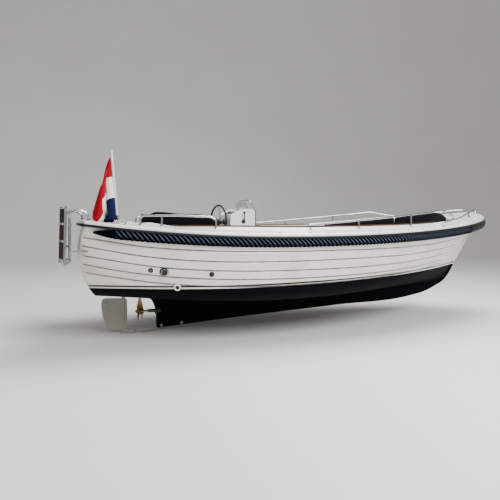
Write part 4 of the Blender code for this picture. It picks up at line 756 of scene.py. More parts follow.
def build_fenders(sizes, colours):
    """Flat band all round, a twisted roll each side and a smooth roll round the stem. The strands stand out by
    |cos(2.5 (angle - turn))|, and the turn grows with the distance along."""
    band_rubber = rubber("extruded navy fender rubber", colours.fender, "#11131F")
    roll_rubber = rubber("moulded grey-blue fender rubber", "#08090F", "#171923", 0.46)
    rope = laid_rope("laid navy polyester rope", "#010206", "#565E74")
    start, end, tip, radius = 0.12, 4.7, 5.528, 0.0365
    p, n = fender_line(np.r_[np.linspace(0.048, 5.2, 110), np.linspace(5.22, 5.5, 22)], -1)
    ps, ns = stern_line()
    arc, facing = bow_arc(13, tip)
    points = np.concatenate([p[::-1], ps, p * (1, -1), arc[::-1]])
    normals = np.concatenate([n[::-1], ns, n * (1, -1), facing[::-1]])
    band = ((-0.006, 0.0), (0.038, 0.0), (0.046, -0.007), (0.046, -0.02), (0.04, -0.025), (-0.006, -0.025))
    loft("fender_flat", soften(swept(points, normals, band), 0.005, 1), band_rubber, caps=False, loop=True,
         slot="fender_rubber", replaces=("fender_band",), sharp=50.0)
    around = np.r_[np.linspace(-2.2, 2.2, 34), 2.7, -2.7]
    for word, side in SIDES:
        x = np.linspace(start, end, 880)
        p, n = fender_line(x, side)
        along = np.r_[0, np.cumsum(np.linalg.norm(np.diff(p, axis=0), axis=1))]
        size = through(x, (start, 0.16, 0.22, 0.285, 0.36, end), (0.22, 0.42, 0.68, 0.88, 1.0, 1.0))[:, None]
        depth = (np.clip((x - 0.24) / 0.08, 0, 1) * np.clip((4.705 - x) / 0.05, 0, 1))[:, None]
        turn = (side * 2 * pi * along / sizes.rope_lay)[:, None]
        crown = np.abs(np.cos(2.5 * (around[None, :] - turn)))
        # painted shade: the crowns' painted highlight is weaker on the roll's lower side
        lit = 1 - 0.22 * np.clip(-np.sin(around) - 0.1, 0, 1)[None, :]
        out, up = roll_section(around[None, :], radius * size * (1 - 0.3 * depth * (1 - crown) ** 1.3), size)
        xy = p[:, None] + n[:, None] * out[..., None]
        rings = np.concatenate([xy, (sheer_z(xy[..., 0]) + up)[..., None]], -1)
        loft("fender_rope_" + word, rings, rope, pairs=np.stack([rings[..., 0], crown * depth * lit], -1),
             slot="fender_rubber", replaces=("rope_fender_" + word,), sharp=180.0)
    p, n = bow_line(end, 15, tip)
    rings = swept(p, n, np.stack(roll_section(np.r_[np.linspace(-2.2, 2.2, 20), 2.7, -2.7], radius), 1))
    loft("fender_bow_roll", rings, roll_rubber, slot="fender_rubber", replaces=("bow_fender",), sharp=60.0)


# Decks
def side_section(x):
    """Upper and lower (half-breadth, height) points of the side deck at each station."""
    half, edge, top = fender_half(x), sheer_z(x), coaming_z(x)
    rim, lip = edge + RIM, half - LIP
    middle = rim + 0.45 * (top - rim)
    upper = ((half - 0.02, edge + SEAT_OF_DECK), (half - 0.026, edge + 0.02), (half - 0.044, rim),
             (half - FOOT, middle), (half - FACE, top - 0.006), (half - TOP, top), (lip + 0.004, top),
             (lip, top - 0.006), (lip, top - 0.075))
    lower = ((half - 0.03, edge + SEAT_OF_DECK), (half - 0.035, edge + 0.015), (half - 0.047, rim - 0.01),
             (half - 0.108, middle - 0.01), (half - 0.149, top - 0.016), (half - TOP, top - 0.01),
             (lip + 0.014, top - 0.01), (lip + 0.01, top - 0.014), (lip + 0.01, top - 0.075))
    return [np.stack([np.stack(np.broadcast_arrays(*p), -1) for p in rows], 1) for rows in (upper, lower)]


def shell(rows, cols):
    """Quads of a closed sheet: a grid, the same grid turned over behind it, and the strip round their edge."""
    size, quads = rows * cols, grid_faces(rows, cols)
    edge = np.r_[np.arange(cols - 1), np.arange(rows - 1) * cols + cols - 1,
                 (rows - 1) * cols + np.arange(cols - 1, 0, -1), np.arange(rows - 1, 0, -1) * cols]
    after = np.roll(edge, -1)
    return np.concatenate([quads, size + quads[:, ::-1], np.stack([edge, size + edge, size + after, after], 1)])


def plate(name, top, bottom, material, **options):
    """Closed plate between two grids of points."""
    faces = shell(*top.shape[:2])
    points = np.concatenate([top.reshape(-1, 3), bottom.reshape(-1, 3)])
    return mesh_piece(name, points, faces, material, uv=points[faces][..., :2].reshape(-1, 2), **options)


EDGE = np.array([                 # a deck's rounded edge: inset and drop, from the underside up
    (0.0, 0.0292), (0.0, 0.012), (0.0016, 0.0075), (0.0045, 0.004), (0.009, 0.0014), (0.016, 0.0)])


def rim_steps(count):
    """Insets from the two edges and shares between them, with the drop of each."""
    share = np.r_[-np.ones(5), np.linspace(-1, 1, count), np.ones(5)]
    return share, *(np.r_[EDGE[:5, k], np.full(count, EDGE[5, k]), EDGE[4::-1, k]] for k in (0, 1))


def build_decks():
    """Side decks with coamings carried along the stations, their aft ends, the teak caps, and the foredeck and
    stern deck as crowned plates."""
    for word, side in SIDES:
        x = np.linspace(DECK_START + 0.0003, FORE_START - 0.0003, 110)
        upper, lower = side_section(x)
        ring = np.concatenate([upper, lower[:, ::-1]], 1)
        rings = np.stack([np.broadcast_to(x[:, None], ring.shape[:2]), side * ring[..., 0], ring[..., 1]], -1)
        loft("deck_side_" + word, soften(rings, 0.005, 1), WHITE, replaces=("side_deck_" + word,), sharp=50.0)
        t = np.linspace(0, 1, 14)[:, None]
        x, share = 0.462 + 0.1383 * t, np.array([0.0, 0.45, 0.93, 1.0, 1.0, 0.9, 0.0])
        rim = sheer_z(x) + RIM
        rise = coaming_z(x) - rim - 0.002 * (1 - t)
        across = fender_half(x) - (0.046, FOOT, FACE, TOP, 0.186, LIP, LIP)
        rings = np.stack([x + 0 * across, side * across, rim + np.where(share > 0, rise * share, -0.004)], -1)
        loft("coaming_end_" + word, rings, WHITE, sharp=50.0)
        x = np.linspace(0.84, 4.0, 90)
        half, low = fender_half(x), coaming_z(x) + 0.0003
        lines = ((-0.154, 0.0), (-0.154, 0.009), (-0.158, 0.012), (-0.186, 0.012), (-LIP, 0.009), (-LIP, 0.0))
        rings = np.stack([np.stack([x, side * (half + a), low + b], -1) for a, b in lines], 1)
        loft("teak_cap_strip_" + word, soften(rings, 0.003, 1), TEAK, replaces=("teak_cap_" + word,), sharp=50.0)
    share, side_in, drop = rim_steps(41)
    bend_x, nose = 5.36, 0.124
    x = np.r_[np.linspace(FORE_START, bend_x, 36), bend_x + nose * np.sin(np.linspace(0.1, 1, 12) * pi / 2)]
    x = x[:, None]
    half = (fender_half(x) - 0.02) * np.maximum(1 - np.clip((x - bend_x) / nose, 0, 1) ** 2.6, 0.02) ** (1 / 2.2)
    edge = sheer_z(x) + SEAT_OF_DECK
    z = edge + RIM + (crown_z(x) - edge - RIM) * (1 - np.abs(share) ** 2.2) - drop
    top = np.stack(np.broadcast_arrays(x, share * (half - side_in), z), -1)
    low = top - (0, 0, 0.012)
    low[..., 1] = share * (half - np.maximum(side_in, 0.009))
    low[..., 2] = np.maximum(low[..., 2], edge)
    plate("deck_fore", top, low, WHITE, replaces=("foredeck",), sharp=50.0)
    deep, aft_in = np.r_[EDGE[:, 1], np.zeros(6)], np.r_[EDGE[:, 0], 0.05, 0.12, 0.22, 0.34, 0.46, 1.0]
    start = float(transom_x(0.63)) - 0.03 + through(np.abs(share), (0, 0.6, 0.85, 0.95, 1.0),
                                                     (0.0, 0.01, 0.016, 0.028, 0.05))
    x = np.where(aft_in[:, None] > 0.99, DECK_START, start + aft_in[:, None])
    half = fender_half(x) - 0.02
    z = sheer_z(x) + RIM - np.maximum(drop, deep[:, None])
    top = np.stack([x, share * (half - side_in), z], -1)
    low = top - (0, 0, 0.01)
    low[..., 0] = np.maximum(x, start + 0.01)
    low[..., 1] = share * (half - np.maximum(side_in, 0.01))
    low[..., 2] = np.maximum(low[..., 2], sheer_z(x) + SEAT_OF_DECK)
    plate("deck_aft", top, low, WHITE, replaces=("aft_deck",), sharp=50.0)


# Rails and deck fittings
def base_plate(name, x, y, radius, height=0.004, screws=3):
    """Round foot that lies on the deck, with countersunk screw heads."""
    z = deck_z(x, y) + 0.0004
    turn = circle(24)
    xs, ys = x + radius * np.cos(turn), y + radius * np.sin(turn)
    low = np.array([deck_z(a, b) + 0.0004 for a, b in zip(xs, ys)])
    centre = np.array([x, y, z + height])
    ring = np.stack([xs, ys, low], 1)
    level = low.mean()
    rings = [ring, ring + (0, 0, height * 0.6),
             centre + (ring - (x, y, level)) * (0.93, 0.93, 1) + (0, 0, level - z),
             centre + (ring - (x, y, level)) * (0.55, 0.55, 0.5) + (0, 0, level - z + 0.001)]
    parts = [loft(name, rings, STEEL)]
    for k in range(screws):
        a = k * 2 * pi / screws + 0.5
        sx, sy = x + radius * 0.72 * cos(a), y + radius * 0.72 * sin(a)
        sz = z + 0.72 * (level - z) + (deck_z(sx, sy) - deck_z(x, y)) * 0.9
        parts.append(turned(name + "_s", (sx, sy, sz + height * 0.7), (0, 0, 1),
                            ((0, 0.003), (0.0009, 0.0028), (0.0014, 0.0016)), STEEL, 12))
    return parts


def railing(name, path, radius, feet, node):
    """A bent tube with a post and a foot under each given point."""
    parts = [tube(name, path, radius, STEEL, 22)]
    for x, y, z in feet:
        parts += base_plate(name + "_f", x, y, 0.0175)
        parts.append(tube(name + "_p", [(x, y, deck_z(x, y) + 0.002), (x, y, z)], (0.0095, 0.0088), STEEL, 16))
    joined(name, parts, node)


def coaming_spot(x, side, z, inboard=0.0):
    """A point over the middle of the coaming's slope."""
    return np.array([x, side * (float(fender_half(x)) - 0.128 - inboard), z])


def build_rails(radius):
    """Three bent rails a side. The port aft rail starts further forward."""
    for word, side in SIDES:
        aft = 0.546 if side < 0 else 0.706
        corners = [coaming_spot(x, side, z) for x, z in (
            (aft, 0.674), (aft + 0.003, 0.714), (0.86, 0.719), (1.19, 0.714), (1.243, 0.69), (1.246, 0.66))]
        feet = [coaming_spot(x, side, z) for x, z in (
            (aft, 0.68), (0.737 if side < 0 else 0.93, 0.717), (1.246, 0.668))]
        railing("rail_aft_" + word, bend(corners, (0.03, 0.4, 0.075, 0.028)), radius, feet, "aft_rail_" + word)
        corners = [coaming_spot(*p) for p in (
            (2.222, side, 0.652), (2.69, side, 0.694), (3.185, side, 0.743), (3.8, side, 0.809),
            (4.12, side, 0.852, 0.01), (4.26, side, 0.824, 0.03), (4.485, side, 0.787, 0.075))]
        feet = [coaming_spot(x, side, z, 0.074 if x > 4.4 else 0.0)
                for x, z in ((2.24, 0.654), (2.822, 0.708), (3.56, 0.782), (4.48, 0.788))]
        railing("rail_bow_seat_" + word, bend(corners, (0.6, 0.6, 0.5, 0.16, 0.3)), radius, feet,
                "bow_seat_rail_" + word)
        corners = [(x, side * y, z) for x, y, z in (
            (4.046, 0.836, 0.668), (4.058, 0.831, 0.706), (4.3, 0.735, 0.742), (4.548, 0.6, 0.775),
            (4.909, 0.37, 0.845), (5.198, 0.19, 0.895), (5.3, 0.13, 0.898))]
        feet = [(x, side * y, z) for x, y, z in (
            (4.046, 0.836, 0.674), (4.909, 0.37, 0.845), (5.292, 0.135, 0.898))]
        railing("rail_bow_hand_" + word, bend(corners, (0.03, 0.5, 0.6, 0.6, 0.3)), radius - 0.001, feet,
                "bow_handrail_" + word)


def build_cleats():
    """Horn cleats: a bar with upturned tips on two legs that meet at the foot."""
    for word, side in SIDES:
        y, foot = side * 0.745, deck_z(0.396, 0.745) + 0.0006
        path = smooth_run([(x, y, 0.667 - 0.013 * (x - 0.313) / 0.157 + lift) for x, lift in
                           ((0.313, 0.0), (0.33, -0.003), (0.362, -0.006), (0.421, -0.006), (0.453, -0.003),
                            (0.47, 0.0))], 24)
        parts = [tube("cleat_horns_" + word, path,
                      0.003 + 0.0055 * np.sin(np.linspace(0.12, pi - 0.12, 24)) ** 0.6, STEEL, 16)]
        for low, high, level in ((0.386, 0.36, 0.657), (0.406, 0.43, 0.651)):
            parts.append(tube("leg", [(low, y, foot + 0.002), (high, y, level)], (0.008, 0.0068), STEEL, 16))
        parts.append(turned("foot", (0.396, y, foot - 0.002), (0, 0, 1),
                            ((0, 0.026), (0.005, 0.026), (0.0075, 0.022), (0.008, 0.012)), STEEL, 28))
        joined("cleat_horns_" + word, parts, "cleat_" + word)


# Flag
def hung_cloth(fly, rows=25, cols=29):
    """A limp flag by hoist and fly. A slanting start shape relaxes under its weight: links along, across and
    over both diagonals keep their length, longer ones only resist folding. The hoist stays on the staff. The
    sheet lies between the staff and a slanting outer edge and ends on the stern deck. Averaging takes out the
    links' crinkle."""
    a, b = np.linspace(0, 1, rows)[:, None], np.linspace(0, 1, cols)[None, :]
    z0 = 1.345 - FLAG_HOIST * a
    x0 = 0.4095 - 0.057 * (z0 - 0.702) / 0.693 - 0.0135 - 0.013 * np.clip((a - 0.85) / 0.15, 0, 1)
    x1 = through(a, (0, 1 / 3, 2 / 3, 1), (0.138, 0.215, 0.265, 0.35))
    aim = x0 + (x1 - x0) * (b + 0.13 * (1 - b) * (1 - np.exp(-12 * b)))
    folds = np.sin(2 * pi * ((1.4 + 2.6 * a) * b + 3.0 * a * b)) * (0.25 + 0.75 * np.clip(a / 0.15, 0, 1))
    points = np.stack([aim, 0.06 * np.clip(b / 0.15, 0, 1) * folds, z0 + (0.665 - z0) * b], -1)
    before, held, links = points.copy(), points[:, 0].copy(), []
    for di, dj, least in ((1, 0, 1), (0, 1, 1), (1, 1, 1), (1, -1, 1), (2, 0, 0.96), (0, 2, 0.96), (4, 0, 0.8),
                          (0, 4, 0.8)):
        i, j = np.meshgrid(np.arange(rows - di), np.arange(max(0, -dj), cols - max(0, dj)), indexing="ij")
        for part in (0, 1):
            pick = ((i // di if di else j // dj) % 2) == part
            links.append((i[pick], j[pick], i[pick] + di, j[pick] + dj,
                          hypot(di * FLAG_HOIST / (rows - 1), dj * fly / (cols - 1)), least))
    for _ in range(160):
        moved = points + 0.9 * (points - before) - (0, 0, 0.00025)
        before, points = points, moved
        points[..., 0] += (aim - points[..., 0]) * 0.06
        for _ in range(5):
            for i, j, k, l, rest, least in links:
                gap = points[k, l] - points[i, j]
                size = np.linalg.norm(gap, axis=1, keepdims=True)
                error = size - rest if least == 1 else np.minimum(size - rest * least, 0) * 0.8
                shift = gap * (0.5 * error / np.maximum(size, 1e-6))
                points[i, j] += shift
                points[k, l] -= shift
            points[:, 0] = held
            points[..., 0] = np.clip(points[..., 0], np.minimum(0.319 - (1.343 - points[..., 2]) * 0.262, x0),
                                     0.4095 - 0.057 * (points[..., 2] - 0.702) / 0.693 - 0.013)
            points[..., 1] = np.clip(points[..., 1], -0.11, 0.11)
            points[..., 2] = np.maximum(points[..., 2], 0.64)
    wide = np.pad(points, ((1, 1), (1, 1), (0, 0)), "reflect", reflect_type="odd")
    wide = 0.25 * wide[:-2] + 0.5 * wide[1:-1] + 0.25 * wide[2:]
    points = 0.25 * wide[:, :-2] + 0.5 * wide[:, 1:-1] + 0.25 * wide[:, 2:]
    points[:, 0] = held
    return points, a, b


def build_flag(fly):
    """The flag as one closed thin sheet with its bands by the map, and a grommet at each end of the hoist."""
    bands = bunting("woven flag bunting", ("#A3001E", "#F7F6F2", "#0A173E"), FLAG_HOIST)
    points, a, b = hung_cloth(fly)
    normal = np.cross(np.gradient(points, axis=1), np.gradient(points, axis=0))
    normal /= np.maximum(np.linalg.norm(normal, axis=-1, keepdims=True), 1e-9)
    faces = shell(*points.shape[:2])
    flat = np.stack(np.broadcast_arrays(b * fly, a * FLAG_HOIST), -1).reshape(-1, 2)
    uv = np.concatenate([flat, flat])[faces].reshape(-1, 2)
    thick = normal * 0.0004
    both = np.concatenate([(points + thick).reshape(-1, 3), (points - thick).reshape(-1, 3)])
    cloth = mesh_piece("flag_cloth", both, faces, bands, uv=uv, slot="flag_cloth", replaces=("flag",),
                       sharp=180.0)
    finer = cloth.modifiers.new("finer", "SUBSURF")
    finer.levels = finer.render_levels = 2
    ties = []
    for x, z in ((0.3445, 1.332), (0.3865, 0.745)):
        ties.append(turned("flag_ties", (x + 0.0065, 0.0, z - 0.004), (-0.08, 0, 1),
                           ((0, 0.015), (0.001, 0.0162), (0.007, 0.0162), (0.008, 0.015)), PAINT, 24,
                           slot="flag_cloth"))
    joined("flag_ties", ties)


def build_staff():
    """A tapered pole with a rounded truck, in a round socket."""
    path = np.array([(0.4105, 0, 0.69), (0.4095, 0, 0.702), (0.3525, 0, 1.395), (0.352, 0, 1.401)])
    parts = [tube("staff_pole", path, (0.012, 0.0125, 0.0105, 0.0105), PAINT, 24)]
    aim = path[-1] - path[1]
    parts.append(turned("staff_truck", path[-1] - aim / np.linalg.norm(aim) * 0.016, aim,
                        ((0, 0.0105), (0.002, 0.0125), (0.008, 0.0125), (0.013, 0.009), (0.0155, 0.003)), PAINT,
                        24))
    joined("staff_pole", parts, "flagstaff")
    socket = base_plate("staff_socket", 0.412, 0.0, 0.0215, 0.005)
    socket.append(tube("staff_tube", [(0.4112, 0, 0.672), (0.408, 0, 0.722)], (0.0165, 0.016), STEEL, 24))
    joined("staff_socket", socket)


# Soft goods
def inflate(piece, voxel, floor, cap=0.007):
    """Closes the pad into small cells, swells it as cloth under pressure, keeps each point within a cap of its
    place and lays it on its floor."""
    scene = bpy.context.scene
    bpy.context.view_layer.objects.active = piece
    step = piece.modifiers.new("cells", "REMESH")
    step.mode = "VOXEL"
    step.voxel_size = voxel
    apply_step(piece, step)
    count = len(piece.data.vertices)
    rest = np.empty(count * 3)
    piece.data.vertices.foreach_get("co", rest)
    rest = rest.reshape(-1, 3)
    cloth = piece.modifiers.new("swell", "CLOTH")
    cloth.settings.quality = 4
    cloth.settings.use_pressure = True
    cloth.settings.uniform_pressure_force = 4.0
    cloth.settings.effector_weights.gravity = 0.0
    cloth.settings.tension_stiffness = 20
    cloth.settings.compression_stiffness = 20
    cloth.settings.bending_stiffness = 1.5
    for frame_number in range(1, 21):
        scene.frame_set(frame_number)
    seen = piece.evaluated_get(bpy.context.evaluated_depsgraph_get())
    moved = np.empty(count * 3)
    seen.data.vertices.foreach_get("co", moved)
    moved = moved.reshape(-1, 3)
    piece.modifiers.remove(cloth)
    scene.frame_set(1)
    shift = moved - rest
    size = np.linalg.norm(shift, axis=1, keepdims=True)
    rest = rest + shift * np.minimum(1.0, cap / np.maximum(size, 1e-9))
    rest[:, 2] = np.maximum(rest[:, 2], floor)
    piece.data.vertices.foreach_set("co", rest.ravel())
    piece.data.update()
    piece.data.shade_smooth()
    finer = piece.modifiers.new("finer", "SUBSURF")
    finer.levels = finer.render_levels = 1


def apply_step(piece, step):
    """Turns a modifier's result into the piece's own mesh."""
    seen = piece.evaluated_get(bpy.context.evaluated_depsgraph_get())
    mesh = bpy.data.meshes.new_from_object(seen)
    piece.modifiers.remove(step)
    materials = list(piece.data.materials)
    piece.data = mesh
    if not mesh.materials:
        for material in materials:
            mesh.materials.append(material)


def pad(name, rings, seams, node, sewing, voxel, floor):
    """One stuffed pad with its sewn welts, cords that follow the nearest points of the swollen pad."""
    fabric, piping, welt = sewing
    body = loft(name, rings, fabric, slot="cushion_fabric", replaces=(node,))
    inflate(body, voxel, floor)
    tree = BVHTree.FromObject(body, bpy.context.evaluated_depsgraph_get())
    for number, seam in enumerate(seams):
        points = np.asarray(seam, float) + (AFT, 0, 0)
        near = [tree.find_nearest(Vector(p)) for p in points]
        path = np.array([list(n[0] + n[1] * 0.0006) for n in near]) - (AFT, 0, 0)
        for _ in range(3):
            path = 0.25 * np.roll(path, 1, 0) + 0.5 * path + 0.25 * np.roll(path, -1, 0)
        loft(name + "_welt" + str(number), tube_rings(path, welt, 6), piping, caps=False, loop=True,
             slot="cushion_fabric")


SEAT = 0.3603                     # top of the benches
PAD_FOOT = 0.421                  # underside of the back pads


def inner_half(x, z):
    """Half-breadth inside the planking at a station and height."""
    x, z = np.asarray(x, float), np.asarray(z, float)
    return side_half((x - 0.05) / (stem_x(z) - 0.1), z, SKIN) - 0.01


def seat_lines(kind):
    """Well edge and seat back of a bench, smoothed, starboard to port."""
    if kind == "aft":
        well = np.array(((1.42, -0.4), (1.2, -0.4), (1.06, -0.39), (0.99, -0.34), (0.97, -0.25), (0.97, 0.0)))
        bx, by = np.array((1.42, 1.2, 1.02, 0.8, 0.6, 0.6)), [None, None, None, None, -0.5, 0.0]
    else:
        well = np.array(((2.42, -0.42), (2.8, -0.43), (3.3, -0.4), (3.7, -0.33), (3.95, -0.24), (4.04, -0.14),
                         (4.06, 0.0)))
        bx, by = np.array((2.42, 2.82, 3.36, 3.86, 4.22, 4.46, 4.46)), [None] * 6 + [0.0]
    back = np.array([(x, -float(inner_half(x, 0.36)) - 0.012 if y is None else y) for x, y in zip(bx, by)])
    return [np.concatenate([line, (line[:-1] * (1, -1))[::-1]]) for line in (well, back)]


def seat_pads(kind, cuts, sewing):
    """A bench's cushion in sewn lengths. Each is a soft slab between the well's edge and the seat's back."""
    well, back = seat_lines(kind)
    along = np.r_[0, np.cumsum(np.linalg.norm(np.diff((well + back) / 2, axis=0), axis=1))]
    total = along[-1]
    for number, (start, end) in enumerate(cuts):
        t = np.linspace(start * total + 0.006, end * total - 0.006, 34)
        a, b = (np.stack([np.interp(t, along, line[:, k]) for k in (0, 1)], 1) for line in (well, back))
        dirn = (b - a) / np.linalg.norm(b - a, axis=1, keepdims=True)
        a, b = a + dirn * 0.026, b - dirn * 0.036
        reach = np.stack([np.interp(t, (t[0], t[0] + 0.025, t[-1] - 0.025, t[-1]), (0.018, 0.0, 0.0, 0.018))], 1)
        rings = []
        for share, height in ((0.0, 0.006), (0.0, 0.044), (0.05, 0.054), (0.5, 0.056), (0.95, 0.054),
                              (1.0, 0.044), (1.0, 0.006), (0.5, 0.004)):
            line = a + dirn * reach + (b - a - 2 * dirn * reach) * share
            rings.append(np.concatenate([line, np.full((len(t), 1), SEAT + height)], 1))
        rings = np.stack(rings, 1)
        front, rear = a + dirn * (reach + 0.002), b - dirn * (reach + 0.002)
        part = np.linspace(0.05, 0.95, 16)[:, None]
        loop = np.concatenate([front, front[-1] + (rear[-1] - front[-1]) * part, rear[::-1],
                               rear[0] + (front[0] - rear[0]) * part])
        seams = [np.concatenate([loop, np.full((len(loop), 1), SEAT + height)], 1) for height in (0.049, 0.012)]
        pad("seat_pad_%s_%d" % (kind, number), rings, seams, kind + "_seat_cushion", sewing, 0.017, SEAT + 0.0012)


BACK_TABLES = {                   # stations, and heights of the pads' tops there
    "aft": ((0.6, 0.64, 0.7, 0.78, 0.892, 1.105, 1.225, 1.29, 1.32),
            (0.722, 0.735, 0.756, 0.755, 0.745, 0.74, 0.728, 0.7, 0.65)),
    "bow": ((2.44, 2.693, 3.185, 3.7, 4.05, 4.2, 4.33), (0.66, 0.684, 0.733, 0.788, 0.828, 0.815, 0.77))}
BACK_SECTION = (                  # offsets out, and up from the foot, from the middle or from the top
    (-0.019, "foot", 0.006), (-0.002, "middle", 0.0), (0.0, "top", -0.018), (-0.012, "top", -0.003),
    (-0.036, "top", -0.003), (-0.048, "top", -0.018), (-0.052, "middle", 0.0), (-0.066, "foot", 0.006))


def back_pads(kind, lengths, sewing):
    """Backrest pads on edge inside the coaming, each a section carried along with thin ends. The port aft one
    starts further forward, and the port bow ones keep to the coaming's height."""
    for word, side in SIDES:
        for number, (start, end) in enumerate(lengths):
            x = np.linspace(0.755 if (kind, word) == ("aft", "port") else start, end, 30)
            high = through(x, *BACK_TABLES[kind]) + 0.006
            if (kind, word) == ("bow", "port"):
                high = np.minimum(high, coaming_z(x) + through(x, (2.4, 3.2, 4.33), (-0.01, -0.01, 0.016)))
            level = {"foot": PAD_FOOT, "middle": PAD_FOOT + (high - PAD_FOOT) * 0.5, "top": high}
            outer = fender_half(x) - LIP - 0.01
            thin = 0.02 * (1 - np.clip(np.minimum(x - x[0], end - x) / 0.03, 0, 1)) ** 2
            rings = np.stack([np.stack([x, side * (outer + out + (thin if out < -0.03 else -thin * 0.3)),
                                        level[place] + up + 0 * x], -1) for out, place, up in BACK_SECTION], 1)
            seams = []
            for out in (-0.008, -0.044):
                y = side * (outer + out)
                top, under = high - 0.006, np.full_like(x, PAD_FOOT + 0.012)
                fall, rise = np.linspace(0.1, 1, 12), np.linspace(0.1, 0.95, 12)
                ends = [np.stack(np.broadcast_arrays(x[k], y[k], z), 1) for k, z in (
                    (-1, top[-1] + (PAD_FOOT + 0.02 - high[-1]) * fall),
                    (0, PAD_FOOT + 0.02 + (high[0] - 0.026 - PAD_FOOT) * rise))]
                seams.append(np.concatenate([np.stack([x, y, top], 1), ends[0],
                                             np.stack([x, y - side * 0.012, under], 1)[::-1], ends[1]]))
            pad("back_pad_%s_%s_%d" % (kind, word, number), rings, seams, kind + "_back_cushion_" + word, sewing,
                0.013, PAD_FOOT)


def build_pads(sizes, colours):
    """Seat pads by shares of each bench's length, and back pads by stations."""
    sewing = (canvas("woven navy upholstery", colours.upholstery, "#0E1019"),
              canvas("navy welt cord", "#06070D", "#10121C", 0.004), sizes.welt)
    seat_pads("aft", ((0.0, 0.36), (0.36, 0.64), (0.64, 1.0)), sewing)
    seat_pads("bow", ((0.0, 0.21), (0.21, 0.42), (0.42, 0.58), (0.58, 0.79), (0.79, 1.0)), sewing)
    back_pads("aft", ((0.61, 1.318),), sewing)
    back_pads("bow", ((2.442, 3.38), (3.384, 4.328)), sewing)


# Console, helm and engine box
DASH = np.array([0.117, 0.059]) / hypot(0.117, 0.059)    # the dash's slope, forward and up
SCREEN_LOW, SCREEN_HIGH = 0.8286, 0.926    # the windscreen's foot and top edge


def dash(along, y, lift):
    """A point along the dash's slope, off it by a lift."""
    x, z = np.array([1.805, 0.765]) + DASH * along + np.array([-DASH[1], DASH[0]]) * lift
    return (x, y, z)


def build_console():
    """The moulding as its side view carried across with rounded edges, a door, and a dash with panel, dials and
    switches."""
    x0, x1, y0, y1 = 1.797, 2.11, 0.3, 0.8
    ring = np.array(((x0, SOLE_TOP), (x0, 0.755), (x0 + 0.008, 0.765), (x0 + 0.125, 0.824), (x0 + 0.14, 0.828),
                     (x1 - 0.045, 0.828), (x1 - 0.016, 0.806), (x1, SOLE_TOP)))
    small, mid = inset(ring, 0.01), inset(ring, 0.003)
    small[[0, -1], 1] = mid[[0, -1], 1] = SOLE_TOP
    lines = ((small, y0), (mid, y0 + 0.003), (ring, y0 + 0.012), (ring, y1 - 0.012), (mid, y1 - 0.003),
             (small, y1))
    rings = np.array([[(x, y, z) for x, z in shape] for shape, y in lines])
    loft("console_shell", soften(rings, 0.01, 2), WHITE, replaces=("console",), sharp=50.0)
    block("console_door", (x0 - 0.006, 0.35, 0.12), (x0 - 0.0004, 0.75, 0.56), WHITE, 0.005)
    latch = [turned("console_latch", (x0 - 0.0062, 0.392, 0.345), (-1, 0, 0),
                    ((0, 0.017), (0.002, 0.017), (0.003, 0.015), (0.0035, 0.01), (0.007, 0.009), (0.008, 0.006)),
                    BLACK, 28)]
    latch += [turned("h", (x0 - 0.0056, 0.742, z), (0, 0, 1), ((-0.022, 0.0045), (0.022, 0.0045)), STEEL, 14)
              for z in (0.18, 0.5)]
    joined("console_latch", latch)
    panel = np.array([[dash(a, y, h) for a, h in (
        (0.022, 0.0003), (0.022, 0.006), (0.0255, 0.008), (0.1065, 0.008), (0.11, 0.006), (0.11, 0.0003))]
                      for y in (0.33, 0.62)])
    loft("dash_panel", soften(panel, 0.0022, 2), BLACK, replaces=("instrument_panel",), sharp=50.0)
    n, side = np.array([-DASH[1], 0.0, DASH[0]]), np.array([0, 1.0, 0])
    up, r = np.cross(n, side), 0.03
    rims, faces, marks = [], [], []
    for c in (np.array(dash(0.066, y, 0.0082)) for y in (0.372, 0.446)):
        rims.append(turned("dial", c, n, ((0, r), (0.0035, r), (0.005, r - 0.0015), (0.005, r - 0.004),
                                          (0.0022, r - 0.005)), STEEL, 36))
        faces.append(turned("face", c, n, ((0.0004, r - 0.003), (0.0024, r - 0.0045)), BLACK, 32))
        for k in range(11):
            a = radians(-130 + 26 * k)
            d = side * sin(a) - up * cos(a)
            marks.append(tube("mark", [c + n * 0.0026 + d * (r - 0.0105), c + n * 0.0026 + d * (r - 0.0068)],
                              0.0006, PAINT, 6))
        d = up * -cos(radians(-60)) + side * sin(radians(-60))
        marks.append(tube("hand", [c + n * 0.0032 - d * 0.004, c + n * 0.0032 + d * (r - 0.01)], (0.001, 0.0005),
                          PAINT, 6))
    joined("dial_rims", rims)
    joined("dial_faces", faces)
    joined("dial_marks", marks)
    keys = []
    for y in (0.5, 0.524, 0.548, 0.572, 0.596):
        c = np.array(dash(0.052, y, 0.0078))
        keys.append(turned("key", c, n, ((0, 0.0072), (0.004, 0.0072), (0.005, 0.006), (0.006, 0.0025)), GREY,
                           18))
        keys.append(tube("toggle", [c + n * 0.004, c + n * 0.016 + up * 0.004], (0.0019, 0.0026), STEEL, 10))
    keys.append(turned("lock", dash(0.09, 0.552, 0.0078), n,
                       ((0, 0.0125), (0.006, 0.0115), (0.008, 0.0105), (0.008, 0.004), (0.014, 0.0045),
                        (0.0145, 0.003)), STEEL, 26))
    joined("dash_switches", keys)


